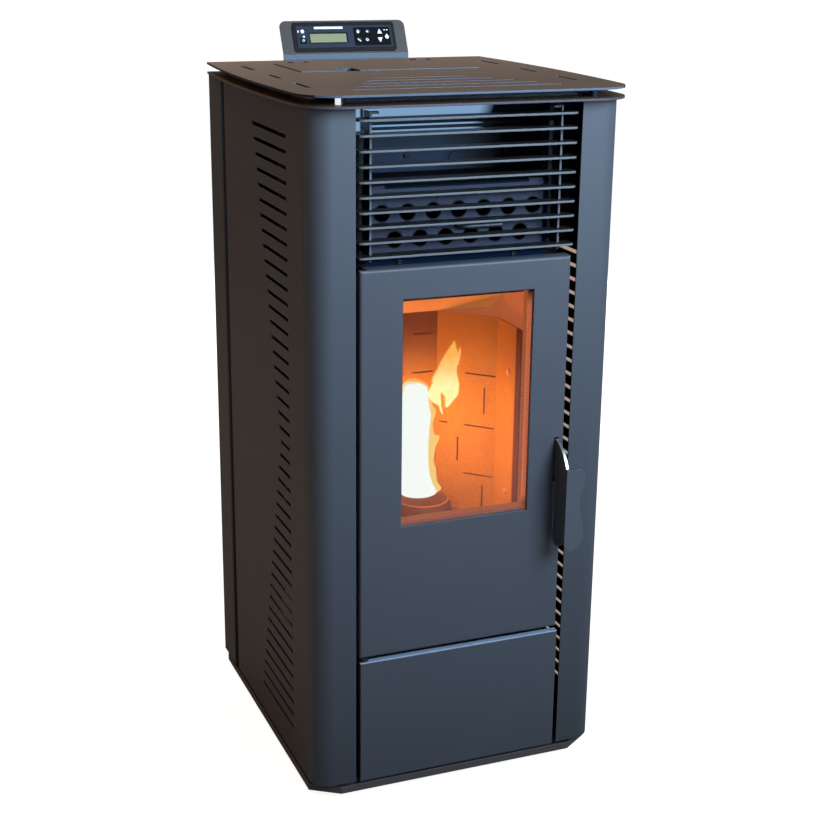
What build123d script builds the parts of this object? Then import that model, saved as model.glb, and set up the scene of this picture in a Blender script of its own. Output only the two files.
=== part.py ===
from build123d import *
import os
from math import cos, radians, sin, tan

# Air-heating pellet stove. Millimetres, +Z up, the room in front at -Y.
# Depths are counted from the flat front of the pilasters, d = 0, towards the rear.

# ---------------------------------------------------------------- driving sizes
grip_reach = 41.0          # the handle's grip stands this far in front
rear_reach = 548.0         # end of the flue spigot
front_y = -(rear_reach - grip_reach) / 2

sheet = 2.0                # casing and cover sheet
plate = 3.0                # top plates, lamellae, combs
wall = 4.0                 # welded firebox
run = 0.3                  # gap between pieces that slide or turn by each other
pin_play = 0.06            # radial play of a pin in its bore

foot_high = 10.0
foot_radius = 18.0
foot_x, foot_front, foot_back = 190.0, 52.0, 440.0

tray_half = 224.0
tray_front = 2.5
tray_front_half = 183.0
tray_chamfer_depth = 27.5
tray_back_chamfer = 16.0
tray_high = 11.0
riser_inset = 8.0
riser_wide = 8.0
riser_high = 17.0          # above the tray's underside

casing_half = 224.0
casing_gap_half = 161.5    # inner edges of the pilasters
casing_corner = 30.0
casing_back = 408.0
casing_top = 993.0
flange = 14.0
slot_count = 43
slot_top = 946.0
slot_pitch = 20.75
slot_high = 6.0
slot_front = 99.0
slot_short, slot_grow = 44.0, 5.43

cover_half = 226.0
cover_front, cover_back = 420.0, 488.0
cover_corner = 3.0

plate_front = -22.0
rear_lap = 2.0             # tray and top plates behind the rear cover
plate_half_front, plate_half_mid, plate_half_back = 230.0, 242.0, 227.0
plate_corner, plate_back_corner = 56.0, 8.0
plate_gap = 11.0
rim_open_half, rim_open_front, rim_open_back = 170.0, 100.0, 474.0

lid_half, lid_front, lid_back = 139.5, 292.5, 427.5
lid_gap = 1.0
lid_proud = 1.2
lid_hinge_x, knuckle, lid_pin = 100.0, 2.5, 1.25
knuckle_long = 16.0
notch_x, notch_wide, notch_deep = -60.0, 20.0, 36.0

door_left, door_right = -156.2, 153.4
door_bottom, door_top = 222.4, 781.8
door_deep = 22.0
door_skin = 2.5
door_soft = 4.0
hinge_x, hinge_depth = -148.0, 5.0
hinge_pin = 3.0
hinge_boss = 9.0
window_x, window_half = 1.6, 96.85
window_bottom, window_top = 414.8, 739.2
window_lip = 6.0
glass_thick, glass_over = 4.0, 8.0
rope = 4.0                 # radius of the sealing ropes
seal_half, seal_bottom, seal_top = 119.0, 341.0, 773.0

panel_left, panel_right = -154.8, 155.4
panel_bottom, panel_top = 25.6, 215.5
panel_deep = 10.0

firebox_half = 135.0
firebox_front, firebox_back = 42.0, 240.0
firebox_top = 884.0
hearth = 350.0             # upper face of the firebox floor
fire_half, fire_bottom, fire_top = 114.0, 346.0, 768.0
ash_half, ash_bottom, ash_top = 129.0, 33.0, 206.0

liner_thick = 3.0
liner_half, liner_front, liner_fold = 115.0, 71.0, 152.0
liner_back_half, liner_back = 47.0, 220.0
liner_top = 661.0

pot_depth = 160.0
pot_rim, pot_rim_radius = 390.0, 42.0
pot_skirt_radius, pot_neck_radius = 50.0, 38.0
pot_bottom = 315.0
pot_wall = 3.0
pot_play = 0.4
air_hole, air_ring, air_holes = 3.0, 24.0, 8

tube_radius, tube_wall = 12.3, 1.3
tube_pitch, tube_upper_z, tube_lower_z = 36.95, 848.0, 812.0
tube_upper_count, tube_lower_count = 7, 6
exchanger_half, exchanger_bottom, exchanger_top = 126.0, 793.0, 880.0
exchanger_plate = 2.0

lamella_half, lamella_deep = 158.5, 25.0
lamella_count, lamella_top, lamella_pitch = 10, 974.0, 19.8
comb_x, comb_front, comb_back = 137.0, 12.0, 35.0
comb_bottom, comb_top = 790.0, 985.0

post_front, post_out, post_back = 46.0, 154.0, 72.0

lever_x, lever_thick = 141.5, 4.0
lever_depth, lever_z = 14.0, 472.0
lever_pin = 3.0
lever_hub = 9.0
lever_slot_half = 3.4
lever_slot_bottom, lever_slot_top = 452.0, 520.0
claw_in, claw_out = 25.5, 31.0
catch_depth, catch_rise, catch_pin = 36.0, 2.0, 3.0

panel_tilt = 26.0
panel_half, panel_slope = 104.0, 55.0
panel_gap, panel_foot_top = 2.0, 1018.0
bezel_half, bezel_low, bezel_high = 85.5, 3.3, 52.3

flue_x, flue_z, flue_radius, flue_wall = -10.0, 213.0, 40.0, 1.8
intake_x, intake_z, intake_radius, intake_wall = -92.0, 292.0, 25.0, 1.8
intake_reach = 520.0
pipe_step = 0.8            # the pipes are this much thinner inside the cover
pipe_start = 2.0           # full size begins this far behind the cover

auger_low_depth, auger_low_z = 400.0, 440.0
auger_long, auger_tilt = 180.0, 45.0
auger_tube_radius, auger_tube_wall = 30.0, 3.0
auger_radius, auger_shaft = 25.0, 8.0
auger_turns, flight_thick = 3, 3.0

# ---------------------------------------------------------------- derived levels
tray_floor = foot_high + sheet
casing_bottom = foot_high + riser_high
rim_low = casing_top
rim_high = rim_low + plate
top_low = rim_high + plate_gap
top_high = top_low + plate
tray_back = cover_back + rear_lap
plate_back = cover_back + rear_lap
panel_depth = plate_back + panel_gap

os.makedirs("parts", exist_ok=True)


def level(height):
    """Horizontal plane; sketches on it are drawn in (x, depth)."""
    return Plane(origin=(0, front_y, height), x_dir=(1, 0, 0), z_dir=(0, 0, 1))


def upright(depth):
    """Plane that faces the room; sketches on it are drawn in (x, z)."""
    return Plane(origin=(0, front_y + depth, 0), x_dir=(1, 0, 0), z_dir=(0, -1, 0))


def side(x):
    """Plane that faces +X; sketches on it are drawn in (depth, z)."""
    return Plane(origin=(x, front_y, 0), x_dir=(0, 1, 0), z_dir=(1, 0, 0))


def field(x0, x1, y0, y1, mode=Mode.ADD):
    """Rectangle from corner to corner in the sketch under way."""
    with Locations(((x0 + x1) / 2, (y0 + y1) / 2)):
        Rectangle(x1 - x0, y1 - y0, mode=mode)


def finish(piece, name):
    """Label a finished piece and write it out."""
    piece.part.label = name
    export_step(piece.part, f"parts/{name}.step")


# ---------------------------------------------------------------- base
def tray_outline(inset=0.0):
    """Plan of the tray: straight edges, chamfered corners."""
    with BuildLine() as outline:
        Polyline(
            (-tray_front_half, tray_front),
            (tray_front_half, tray_front),
            (tray_half, tray_front + tray_chamfer_depth),
            (tray_half, tray_back - tray_back_chamfer),
            (tray_half - tray_back_chamfer, tray_back),
            (-tray_half + tray_back_chamfer, tray_back),
            (-tray_half, tray_back - tray_back_chamfer),
            (-tray_half, tray_front + tray_chamfer_depth),
            close=True,
        )
    make_face(outline.edges())
    if inset:
        offset(amount=-inset, kind=Kind.INTERSECTION, mode=Mode.REPLACE)


with BuildPart() as base_tray:
    with BuildSketch(level(foot_high)):
        tray_outline()
    extrude(amount=tray_high)
    with BuildSketch(level(tray_floor)):
        tray_outline(sheet)
    extrude(amount=tray_high, mode=Mode.SUBTRACT)
    with BuildSketch(level(tray_floor)):
        tray_outline(riser_inset)
    extrude(amount=casing_bottom - tray_floor)
    with BuildSketch(level(tray_floor)):
        tray_outline(riser_inset + riser_wide)
    extrude(amount=riser_high, mode=Mode.SUBTRACT)
finish(base_tray, "base_tray")

with BuildPart() as foot_pads:
    for x in (-foot_x, foot_x):
        for depth in (foot_front, foot_back):
            with BuildSketch(level(0)):
                with Locations((x, depth)):
                    Circle(foot_radius)
            extrude(amount=foot_high, taper=8)
finish(foot_pads, "foot_pads")

# ---------------------------------------------------------------- casings
with BuildPart() as right_casing:
    with BuildSketch(level(casing_bottom)):
        with BuildLine():
            FilletPolyline(
                (casing_gap_half, 0),
                (casing_half, 0),
                (casing_half, casing_back),
                (casing_half - flange, casing_back),
                radius=[casing_corner, sheet],
            )
            offset(amount=sheet, side=Side.LEFT)
        make_face()
    extrude(amount=casing_top - casing_bottom)
    for height in (casing_bottom, casing_top - sheet):
        with BuildSketch(level(height)):
            with BuildLine():
                FilletPolyline(
                    (casing_gap_half, 0),
                    (casing_half, 0),
                    (casing_half, casing_back - sheet),
                    radius=casing_corner,
                )
                offset(amount=flange, side=Side.LEFT)
            make_face()
        extrude(amount=sheet)
    with BuildSketch(side(casing_half + sheet)):
        for row in range(slot_count):
            from_middle = abs(row - (slot_count - 1) / 2)
            slot_long = slot_short + slot_grow * from_middle
            with Locations((slot_front + slot_long / 2, slot_top - row * slot_pitch)):
                Rectangle(slot_long, slot_high)
    extrude(amount=-3 * sheet, mode=Mode.SUBTRACT)
finish(right_casing, "right_casing")

with BuildPart() as left_casing:
    mirror(right_casing.part, about=Plane.YZ)
finish(left_casing, "left_casing")

# ---------------------------------------------------------------- rear cover
inlet_x, inlet_z, inlet_wide, inlet_tall = 150.0, 96.0, 48.0, 60.0
vent_x, vent_z, vent_wide, vent_count, vent_pitch = -80.0, 92.0, 200.0, 7, 11.0

with BuildPart() as rear_cover:
    with BuildSketch(level(casing_bottom)):
        with BuildLine():
            FilletPolyline(
                (cover_half - flange, cover_front),
                (cover_half, cover_front),
                (cover_half, cover_back),
                (-cover_half, cover_back),
                (-cover_half, cover_front),
                (-cover_half + flange, cover_front),
                radius=[sheet + 0.5, cover_corner, cover_corner, sheet + 0.5],
            )
            offset(amount=sheet, side=Side.LEFT)
        make_face()
    extrude(amount=casing_top - casing_bottom)
    for height in (casing_bottom, casing_top - sheet):
        with BuildSketch(level(height)):
            with BuildLine():
                FilletPolyline(
                    (cover_half, cover_front + sheet),
                    (cover_half, cover_back),
                    (-cover_half, cover_back),
                    (-cover_half, cover_front + sheet),
                    radius=cover_corner,
                )
                offset(amount=flange, side=Side.LEFT)
            make_face()
        extrude(amount=sheet)
    with BuildSketch(upright(cover_back + sheet)):
        with Locations((flue_x, flue_z)):
            Circle(flue_radius + run)
        with Locations((intake_x, intake_z)):
            Circle(intake_radius + run)
        with Locations((inlet_x, inlet_z)):
            Rectangle(inlet_wide - 8, inlet_tall - 8)
        for row in range(vent_count):
            with Locations((vent_x, vent_z + (row - (vent_count - 1) / 2) * vent_pitch)):
                Rectangle(vent_wide, slot_high)
    extrude(amount=3 * sheet, mode=Mode.SUBTRACT)
finish(rear_cover, "rear_cover")

# ---------------------------------------------------------------- top plates
hopper_half, hopper_front, hopper_back = 137.0, 296.0, 424.0
screw_x, screw_depths = 178.0, (17.0, 250.0, 440.0)
screw_radius, screw_high = 4.0, 2.4


def plate_outline():
    """Plan of the two top plates: bowed sides, round front corners."""
    with BuildLine() as edge:
        Line((-plate_half_front, plate_front), (plate_half_front, plate_front))
        bow = (plate_front + plate_back) / 2
        ThreePointArc(
            (plate_half_front, plate_front),
            (plate_half_mid, bow),
            (plate_half_back, plate_back),
        )
        Line((plate_half_back, plate_back), (-plate_half_back, plate_back))
        ThreePointArc(
            (-plate_half_back, plate_back),
            (-plate_half_mid, bow),
            (-plate_half_front, plate_front),
        )
    outline = make_face(edge.edges())
    fillet(outline.vertices().group_by(Axis.Y)[0], plate_corner)
    fillet(outline.vertices().group_by(Axis.Y)[-1], plate_back_corner)


with BuildPart() as rim_plate:
    with BuildSketch(level(rim_low)):
        plate_outline()
        field(-rim_open_half, rim_open_half, rim_open_front, rim_open_back, Mode.SUBTRACT)
    extrude(amount=plate)
finish(rim_plate, "rim_plate")

front_slots = ((42.0, 151.0), (78.0, 132.0), (111.0, 112.0), (147.0, 94.0), (181.0, 71.0))
side_slots = ((85.0, 148.0), (213.0, 273.0), (344.0, 415.0))
side_slot_x, plate_slot_wide = 195.0, 6.0

with BuildPart() as top_plate:
    with BuildSketch(level(top_low)):
        plate_outline()
        for depth, half in front_slots:
            field(-half, half, depth - plate_slot_wide / 2, depth + plate_slot_wide / 2, Mode.SUBTRACT)
        for start, end in side_slots:
            for x in (-side_slot_x, side_slot_x):
                field(x - plate_slot_wide / 2, x + plate_slot_wide / 2, start, end, Mode.SUBTRACT)
        field(
            -lid_half - lid_gap,
            lid_half + lid_gap,
            lid_front - lid_gap,
            lid_back + lid_gap,
            Mode.SUBTRACT,
        )
        for x in (-lid_hinge_x, lid_hinge_x):
            field(
                x - knuckle_long - lid_gap,
                x + knuckle_long + lid_gap,
                lid_back,
                lid_back + 2 * knuckle + 3 * lid_gap,
                Mode.SUBTRACT,
            )
    extrude(amount=plate)
finish(top_plate, "top_plate")

spacer_half, spacer_front, spacer_deep = 167.0, 26.0, 12.0
spacer_spots = ((180.0, 8.0), (206.0, 120.0), (212.0, 300.0), (200.0, 460.0))
spacer_radius = 6.0

with BuildPart() as plate_spacers:
    with BuildSketch(level(rim_high)):
        field(-spacer_half, spacer_half, spacer_front, spacer_front + spacer_deep)
        for x, depth in spacer_spots:
            with Locations((x, depth), (-x, depth)):
                Circle(spacer_radius)
    extrude(amount=plate_gap)
finish(plate_spacers, "plate_spacers")

with BuildPart() as plate_screws:
    with BuildSketch(level(rim_high)):
        for depth in screw_depths:
            with Locations((screw_x, depth + 8), (-screw_x, depth + 8)):
                Circle(screw_radius)
    extrude(amount=screw_high)
finish(plate_screws, "plate_screws")

# ---------------------------------------------------------------- hopper lid and its hinge
lid_axis_depth = lid_back + knuckle + lid_gap
lid_axis_z = top_high

with BuildPart() as hopper_lid:
    with BuildSketch(level(top_low)):
        field(-lid_half, lid_half, lid_front, lid_back)
        with Locations((notch_x, lid_front + (notch_deep - notch_wide / 2) / 2 - 1)):
            Rectangle(notch_wide, notch_deep - notch_wide / 2 + 2, mode=Mode.SUBTRACT)
        with Locations((notch_x, lid_front + notch_deep - notch_wide / 2)):
            Circle(notch_wide / 2, mode=Mode.SUBTRACT)
    extrude(amount=plate + lid_proud)
    for x in (-lid_hinge_x, lid_hinge_x):
        with BuildSketch(side(x - knuckle_long / 2)):
            with Locations((lid_axis_depth, lid_axis_z)):
                Circle(knuckle)
            field(lid_back - 1, lid_axis_depth, lid_axis_z - knuckle, lid_axis_z)
            with Locations((lid_axis_depth, lid_axis_z)):
                Circle(lid_pin + pin_play, mode=Mode.SUBTRACT)
        extrude(amount=knuckle_long)
finish(hopper_lid, "hopper_lid")

with BuildPart() as lid_hinge:
    for x in (-lid_hinge_x, lid_hinge_x):
        with BuildSketch(side(x - knuckle_long)):
            with Locations((lid_axis_depth, lid_axis_z)):
                Circle(lid_pin)
        extrude(amount=2 * knuckle_long)
        for start in (x - knuckle_long, x + knuckle_long / 2 + run):
            with BuildSketch(side(start)):
                with Locations((lid_axis_depth, lid_axis_z)):
                    Circle(knuckle)
                field(
                    lid_axis_depth,
                    lid_axis_depth + knuckle,
                    top_low - sheet,
                    lid_axis_z,
                )
                field(
                    lid_axis_depth,
                    lid_axis_depth + 16,
                    top_low - sheet,
                    top_low,
                )
            extrude(amount=knuckle_long / 2 - run)
finish(lid_hinge, "lid_hinge")

# ---------------------------------------------------------------- hopper
hopper_straight = 700.0
hopper_throat_half, throat_front, throat_back = 25.0, 362.0, 412.0
throat_top = 520.0
axis_out = Vector(0, -sin(radians(auger_tilt)), cos(radians(auger_tilt)))
auger_foot = Vector(0, front_y + auger_low_depth, auger_low_z)
auger_plane = Plane(origin=auger_foot, x_dir=(1, 0, 0), z_dir=axis_out)


def hopper_section(inset):
    """Rectangle of the hopper's mouth, inset by the sheet."""
    field(
        -hopper_half + inset,
        hopper_half - inset,
        hopper_front + inset,
        hopper_back - inset,
    )


def throat_section(inset):
    """Rectangle of the hopper's throat, inset by the sheet."""
    field(
        -hopper_throat_half + inset,
        hopper_throat_half - inset,
        throat_front + inset,
        throat_back - inset,
    )


with BuildPart() as hopper:
    with BuildSketch(level(hopper_straight)):
        hopper_section(0)
    extrude(amount=top_low - hopper_straight)
    with BuildSketch(level(top_low - sheet)):
        field(-hopper_half - 8, hopper_half + 8, hopper_front - 8, lid_axis_depth - run)
    extrude(amount=sheet)
    with BuildSketch(level(hopper_straight)):
        hopper_section(0)
    with BuildSketch(level(throat_top)):
        throat_section(0)
    loft()
    with BuildSketch(level(throat_top)):
        throat_section(0)
    extrude(amount=-60)
    with BuildSketch(level(hopper_straight)):
        hopper_section(sheet)
    extrude(amount=top_low - hopper_straight, mode=Mode.SUBTRACT)
    with BuildSketch(level(hopper_straight)):
        hopper_section(sheet)
    with BuildSketch(level(throat_top)):
        throat_section(sheet)
    loft(mode=Mode.SUBTRACT)
    with BuildSketch(level(throat_top)):
        throat_section(sheet)
    extrude(amount=-60, mode=Mode.SUBTRACT)
    with BuildSketch(auger_plane.offset(-auger_long)):
        Circle(auger_tube_radius + run)
    extrude(amount=3 * auger_long, mode=Mode.SUBTRACT)
finish(hopper, "hopper")

# ---------------------------------------------------------------- pellet feed
cap = 3.0
chute_half, chute_wall = 27.0, 2.0
chute_along = 150.0        # where the chute leaves the tube, from its lower end
port_long = 52.0
chute_long = 150.0

with BuildPart() as auger_tube:
    with BuildSketch(auger_plane):
        Circle(auger_tube_radius)
    extrude(amount=auger_long)
    with BuildSketch(auger_plane.offset(cap)):
        Circle(auger_tube_radius - auger_tube_wall)
    extrude(amount=auger_long - 2 * cap, mode=Mode.SUBTRACT)
    with BuildSketch(auger_plane):
        Circle(auger_shaft + pin_play)
    extrude(amount=auger_long, mode=Mode.SUBTRACT)
    with BuildSketch(level(throat_top)):
        throat_section(sheet)
    extrude(amount=-55, mode=Mode.SUBTRACT)
    port_plane = Plane(
        origin=auger_plane.from_local_coords((0, 0, chute_along)),
        x_dir=(1, 0, 0),
        z_dir=auger_plane.y_dir,
    )
    with BuildSketch(port_plane):
        Rectangle(2 * (chute_half - chute_wall), port_long)
    extrude(amount=-2 * auger_tube_radius, mode=Mode.SUBTRACT)
finish(auger_tube, "auger_tube")

with BuildPart() as auger_screw:
    with BuildSketch(auger_plane.offset(-20)):
        Circle(auger_shaft)
    extrude(amount=auger_long + 22)
    flight_run = auger_long - 2 * cap - 3 * flight_thick
    flight_mid = (auger_shaft + auger_radius) / 2
    flight_foot = auger_plane.from_local_coords((0, 0, cap + 1.5 * flight_thick))
    with BuildLine() as turns:
        Helix(
            pitch=flight_run / auger_turns,
            height=flight_run,
            radius=flight_mid,
            center=flight_foot,
            direction=axis_out,
        )
    flight_out = (turns.line @ 0) - flight_foot
    blade_plane = Plane(
        origin=turns.line @ 0,
        x_dir=flight_out,
        z_dir=flight_out.cross(axis_out),
    )
    with BuildSketch(blade_plane):
        Rectangle(auger_radius - auger_shaft + 1, flight_thick)
    sweep(path=turns.line, is_frenet=True)
finish(auger_screw, "auger_screw")

gearbox_half, gearbox_long = 30.0, 32.0
motor_radius, motor_long = 24.0, 40.0

with BuildPart() as auger_gearmotor:
    with BuildSketch(auger_plane):
        RectangleRounded(2 * gearbox_half, 2 * gearbox_half, 6)
    extrude(amount=-gearbox_long)
    with BuildSketch(auger_plane.offset(-gearbox_long)):
        Circle(motor_radius)
    extrude(amount=-motor_long)
    with BuildSketch(auger_plane):
        Circle(auger_shaft + pin_play)
    extrude(amount=-20 - run, mode=Mode.SUBTRACT)
finish(auger_gearmotor, "auger_gearmotor")


def chute_bore(gap, mode=Mode.SUBTRACT):
    """Cut or add the slanting prism of the pellet chute, with a gap around it."""
    with BuildSketch(port_plane) as section:
        Rectangle(2 * (chute_half + gap), port_long + 2 * (chute_wall + gap))
    extrude(section.sketch, amount=-chute_long, mode=mode)


with BuildPart() as feed_chute:
    chute_bore(0, Mode.ADD)
    with BuildSketch(port_plane):
        Rectangle(2 * (chute_half - chute_wall), port_long)
    extrude(amount=-chute_long, mode=Mode.SUBTRACT)
    with BuildSketch(auger_plane.offset(-auger_long)):
        Circle(auger_tube_radius)
    extrude(amount=3 * auger_long, mode=Mode.SUBTRACT)
    with BuildSketch(upright(liner_back + run)):
        field(-liner_half, liner_half, hearth, firebox_top)
    extrude(amount=liner_back, mode=Mode.SUBTRACT)
finish(feed_chute, "feed_chute")

# ---------------------------------------------------------------- firebox
exhaust_x, exhaust_z, exhaust_neck = 90.0, 170.0, 38.0
igniter_z, igniter_radius = 338.0, 5.0
baffle_rise = tan(radians(29.7))
baffle_front = 104.0
baffle_thick = 4.0
peg_depth, peg_radius, peg_long = 112.0, 3.0, 9.0
baffle_foot = liner_back + liner_thick
inner_half = firebox_half - wall
smoke_slot_front, smoke_slot_half = 226.0, 100.0
drawer_low = 42.0          # upper face of the drawer's rails
rail_leg, rail_high = 12.0, 20.0


def baffle_under(depth):
    """Height of the baffle's underside."""
    return liner_top + (baffle_foot - depth) * baffle_rise


with BuildPart() as firebox:
    with BuildSketch(level(tray_floor)):
        field(-firebox_half, firebox_half, firebox_front, firebox_back)
    extrude(amount=firebox_top - tray_floor)
    with BuildSketch(level(tray_floor)):
        field(-inner_half, inner_half, firebox_front + wall, firebox_back - wall)
    extrude(amount=hearth - wall - tray_floor, mode=Mode.SUBTRACT)
    with BuildSketch(level(hearth)):
        field(-inner_half, inner_half, firebox_front + wall, firebox_back - wall)
    extrude(amount=firebox_top - wall - hearth, mode=Mode.SUBTRACT)
    with BuildSketch(level(hearth)):
        with Locations((0, pot_depth)):
            Circle(pot_neck_radius + pot_play)
        field(-smoke_slot_half, smoke_slot_half, smoke_slot_front, firebox_back - wall)
    extrude(amount=-wall, mode=Mode.SUBTRACT)
    with BuildSketch(upright(firebox_front)):
        field(-fire_half, fire_half, hearth, fire_top)
        field(-ash_half, ash_half, ash_bottom, ash_top)
    extrude(amount=-wall, mode=Mode.SUBTRACT)
    with BuildSketch(upright(firebox_front)):
        field(
            -exchanger_half + sheet,
            exchanger_half - sheet,
            exchanger_bottom + wall,
            exchanger_top - wall,
        )
    extrude(amount=firebox_front - firebox_back, mode=Mode.SUBTRACT)
    with BuildSketch(upright(firebox_back)):
        with Locations((exhaust_x, exhaust_z)):
            Circle(exhaust_neck - sheet)
        with Locations((0, igniter_z)):
            Circle(igniter_radius + run)
        with Locations((intake_x, intake_z)):
            Circle(intake_radius - intake_wall)
    extrude(amount=wall, mode=Mode.SUBTRACT)
    chute_bore(run)
    for x in (-inner_half, inner_half - peg_long):
        with BuildSketch(side(x)):
            with Locations((peg_depth, baffle_under(peg_depth) - peg_radius - 2 * run)):
                Circle(peg_radius)
        extrude(amount=peg_long)
    for hand in (-1, 1):
        with BuildSketch(upright(firebox_front + wall)):
            with BuildLine():
                Polyline(
                    (hand * (inner_half - rail_leg), drawer_low - sheet),
                    (hand * inner_half, drawer_low - sheet),
                    (hand * inner_half, drawer_low + rail_high),
                )
                offset(
                    amount=sheet,
                    side=Side.LEFT if hand > 0 else Side.RIGHT,
                    kind=Kind.INTERSECTION,
                )
            make_face()
        extrude(amount=firebox_front - firebox_back + 2 * wall)
finish(firebox, "firebox")

brick_slot = 2.4
brick_long, brick_shift = 48.0, -22.0        # level slots, from the middle of the diagonal
brick_levels = (410.0, 488.0, 570.0)
brick_uprights = ((-29.7, 356.0, 395.0), (12.0, 428.0, 467.0), (-29.7, 509.0, 550.0))
brick_end_long, brick_end_shift = 14.0, 36.0
back_slot_x, back_slot_long = 24.0, 34.0
back_slot_levels = (410.0, 568.0, 628.0)

with BuildPart() as firebox_liner:
    with BuildSketch(level(hearth)):
        with BuildLine():
            Polyline(
                (liner_half, liner_front),
                (liner_half, liner_fold),
                (liner_back_half, liner_back),
                (-liner_back_half, liner_back),
                (-liner_half, liner_fold),
                (-liner_half, liner_front),
            )
            offset(amount=liner_thick, side=Side.RIGHT, kind=Kind.INTERSECTION)
        make_face()
    extrude(amount=liner_top - hearth)
    for hand in (-1, 1):
        facet = Plane(
            origin=(
                hand * (liner_half + liner_back_half) / 2,
                front_y + (liner_fold + liner_back) / 2,
                0,
            ),
            x_dir=(-1, hand, 0),
            z_dir=(hand, 1, 0),
        )
        with BuildSketch(facet):
            for height in brick_levels:
                with Locations((hand * brick_shift, height)):
                    Rectangle(brick_long, brick_slot)
            with Locations((hand * brick_end_shift, brick_levels[1])):
                Rectangle(brick_end_long, brick_slot)
            for across, low, high in brick_uprights:
                with Locations((hand * across, (low + high) / 2)):
                    Rectangle(brick_slot, high - low)
        extrude(amount=2 * liner_thick, both=True, mode=Mode.SUBTRACT)
    with BuildSketch(upright(liner_back)):
        for height in back_slot_levels:
            with Locations((-back_slot_x, height), (back_slot_x, height)):
                Rectangle(back_slot_long, brick_slot)
    extrude(amount=-2 * liner_thick, mode=Mode.SUBTRACT)
    chute_bore(run)
finish(firebox_liner, "firebox_liner")

with BuildPart() as baffle_plate:
    with BuildSketch(side(-inner_half + run)):
        with BuildLine():
            Polyline(
                (baffle_foot, baffle_under(baffle_foot)),
                (baffle_front, baffle_under(baffle_front)),
                (baffle_front, baffle_under(baffle_front) + baffle_thick),
                (baffle_foot, baffle_under(baffle_foot) + baffle_thick),
                close=True,
            )
        make_face()
    extrude(amount=2 * (inner_half - run))
finish(baffle_plate, "baffle_plate")

with BuildPart() as burn_pot:
    with BuildSketch(Plane.XZ):
        with BuildLine():
            Polyline(
                (0, pot_bottom),
                (pot_neck_radius, pot_bottom),
                (pot_neck_radius, hearth),
                (pot_skirt_radius, hearth),
                (pot_skirt_radius, hearth + 7),
                (pot_rim_radius, pot_rim),
                (pot_rim_radius - pot_wall, pot_rim),
                (pot_neck_radius - pot_wall, hearth + 7),
                (pot_neck_radius - pot_wall, pot_bottom + pot_wall),
                (0, pot_bottom + pot_wall),
                close=True,
            )
        make_face()
    revolve(axis=Axis.Z)
    with BuildSketch(Plane.XY.offset(pot_bottom)):
        Circle(air_hole)
        with PolarLocations(air_ring, air_holes):
            Circle(air_hole)
    extrude(amount=pot_wall, mode=Mode.SUBTRACT)
burn_pot.part = Pos(0, front_y + pot_depth, 0) * burn_pot.part
finish(burn_pot, "burn_pot")

igniter_flange = 12.0
with BuildPart() as igniter:
    with BuildSketch(upright(pot_depth + pot_neck_radius + 1)):
        with Locations((0, igniter_z)):
            Circle(igniter_radius)
    extrude(amount=-(firebox_back - pot_depth - pot_neck_radius + 20))
    with BuildSketch(upright(firebox_back)):
        with Locations((0, igniter_z)):
            Circle(igniter_flange)
    extrude(amount=-wall)
finish(igniter, "igniter")

# ---------------------------------------------------------------- exchanger and scraper
scraper_x, scraper_z, scraper_radius = -2.0, 826.0, 4.0
scraper_handle_depth, scraper_handle_end = 30.0, 59.0
scraper_plate_depth, scraper_plate_thick, scraper_gap = 222.0, 2.0, 0.8
scraper_half, scraper_low, scraper_high = 122.0, 797.0, 864.0
tab_x = ((-124.0, -107.0), (104.0, 125.0))
tab_high = 5.0


def tube_places():
    """Centres of the exchanger's tubes, two staggered rows."""
    for count, height in ((tube_upper_count, tube_upper_z), (tube_lower_count, tube_lower_z)):
        for i in range(count):
            yield ((i - (count - 1) / 2) * tube_pitch, height)


def tube_field(radius, mode=Mode.ADD):
    """Circles at all tube places in the sketch under way."""
    with Locations(*tube_places()):
        Circle(radius, mode=mode)


with BuildPart() as exchanger_plates:
    with BuildSketch(upright(firebox_front - exchanger_plate)):
        field(-exchanger_half, exchanger_half, exchanger_bottom, exchanger_top)
        for start, end in tab_x:
            field(start, end, exchanger_top, exchanger_top + tab_high)
        tube_field(tube_radius + 0.2, Mode.SUBTRACT)
        with Locations((scraper_x, scraper_z)):
            Circle(scraper_radius + run, mode=Mode.SUBTRACT)
    extrude(amount=-exchanger_plate)
    with BuildSketch(upright(firebox_back)):
        field(-exchanger_half, exchanger_half, exchanger_bottom, exchanger_top)
        tube_field(tube_radius + 0.2, Mode.SUBTRACT)
    extrude(amount=-exchanger_plate)
finish(exchanger_plates, "exchanger_plates")

with BuildPart() as exchanger_tubes:
    with BuildSketch(upright(firebox_front - exchanger_plate)):
        tube_field(tube_radius)
        tube_field(tube_radius - tube_wall, Mode.SUBTRACT)
    extrude(amount=-(firebox_back - firebox_front + 2 * exchanger_plate))
finish(exchanger_tubes, "exchanger_tubes")

with BuildPart() as tube_scraper:
    with BuildLine() as rod:
        bend = 3 * scraper_radius
        FilletPolyline(
            (scraper_x, front_y + scraper_plate_depth, scraper_z),
            (scraper_x, front_y + scraper_handle_depth, scraper_z),
            (scraper_handle_end, front_y + scraper_handle_depth, scraper_z),
            radius=bend,
        )
    with BuildSketch(Plane(origin=rod.line @ 0, z_dir=rod.line % 0)):
        Circle(scraper_radius)
    sweep(path=rod.line)
    with BuildSketch(upright(scraper_plate_depth)):
        field(-scraper_half, scraper_half, scraper_low, scraper_high)
        tube_field(tube_radius + scraper_gap, Mode.SUBTRACT)
    extrude(amount=-scraper_plate_thick)
finish(tube_scraper, "tube_scraper")

# ---------------------------------------------------------------- front frame and grille
bracket_thick, bracket_half, bracket_tab = 3.0, 6.0, 16.0
blind_bottom = 790.0       # blinds beside the grille, up to the casing's top flange

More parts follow.
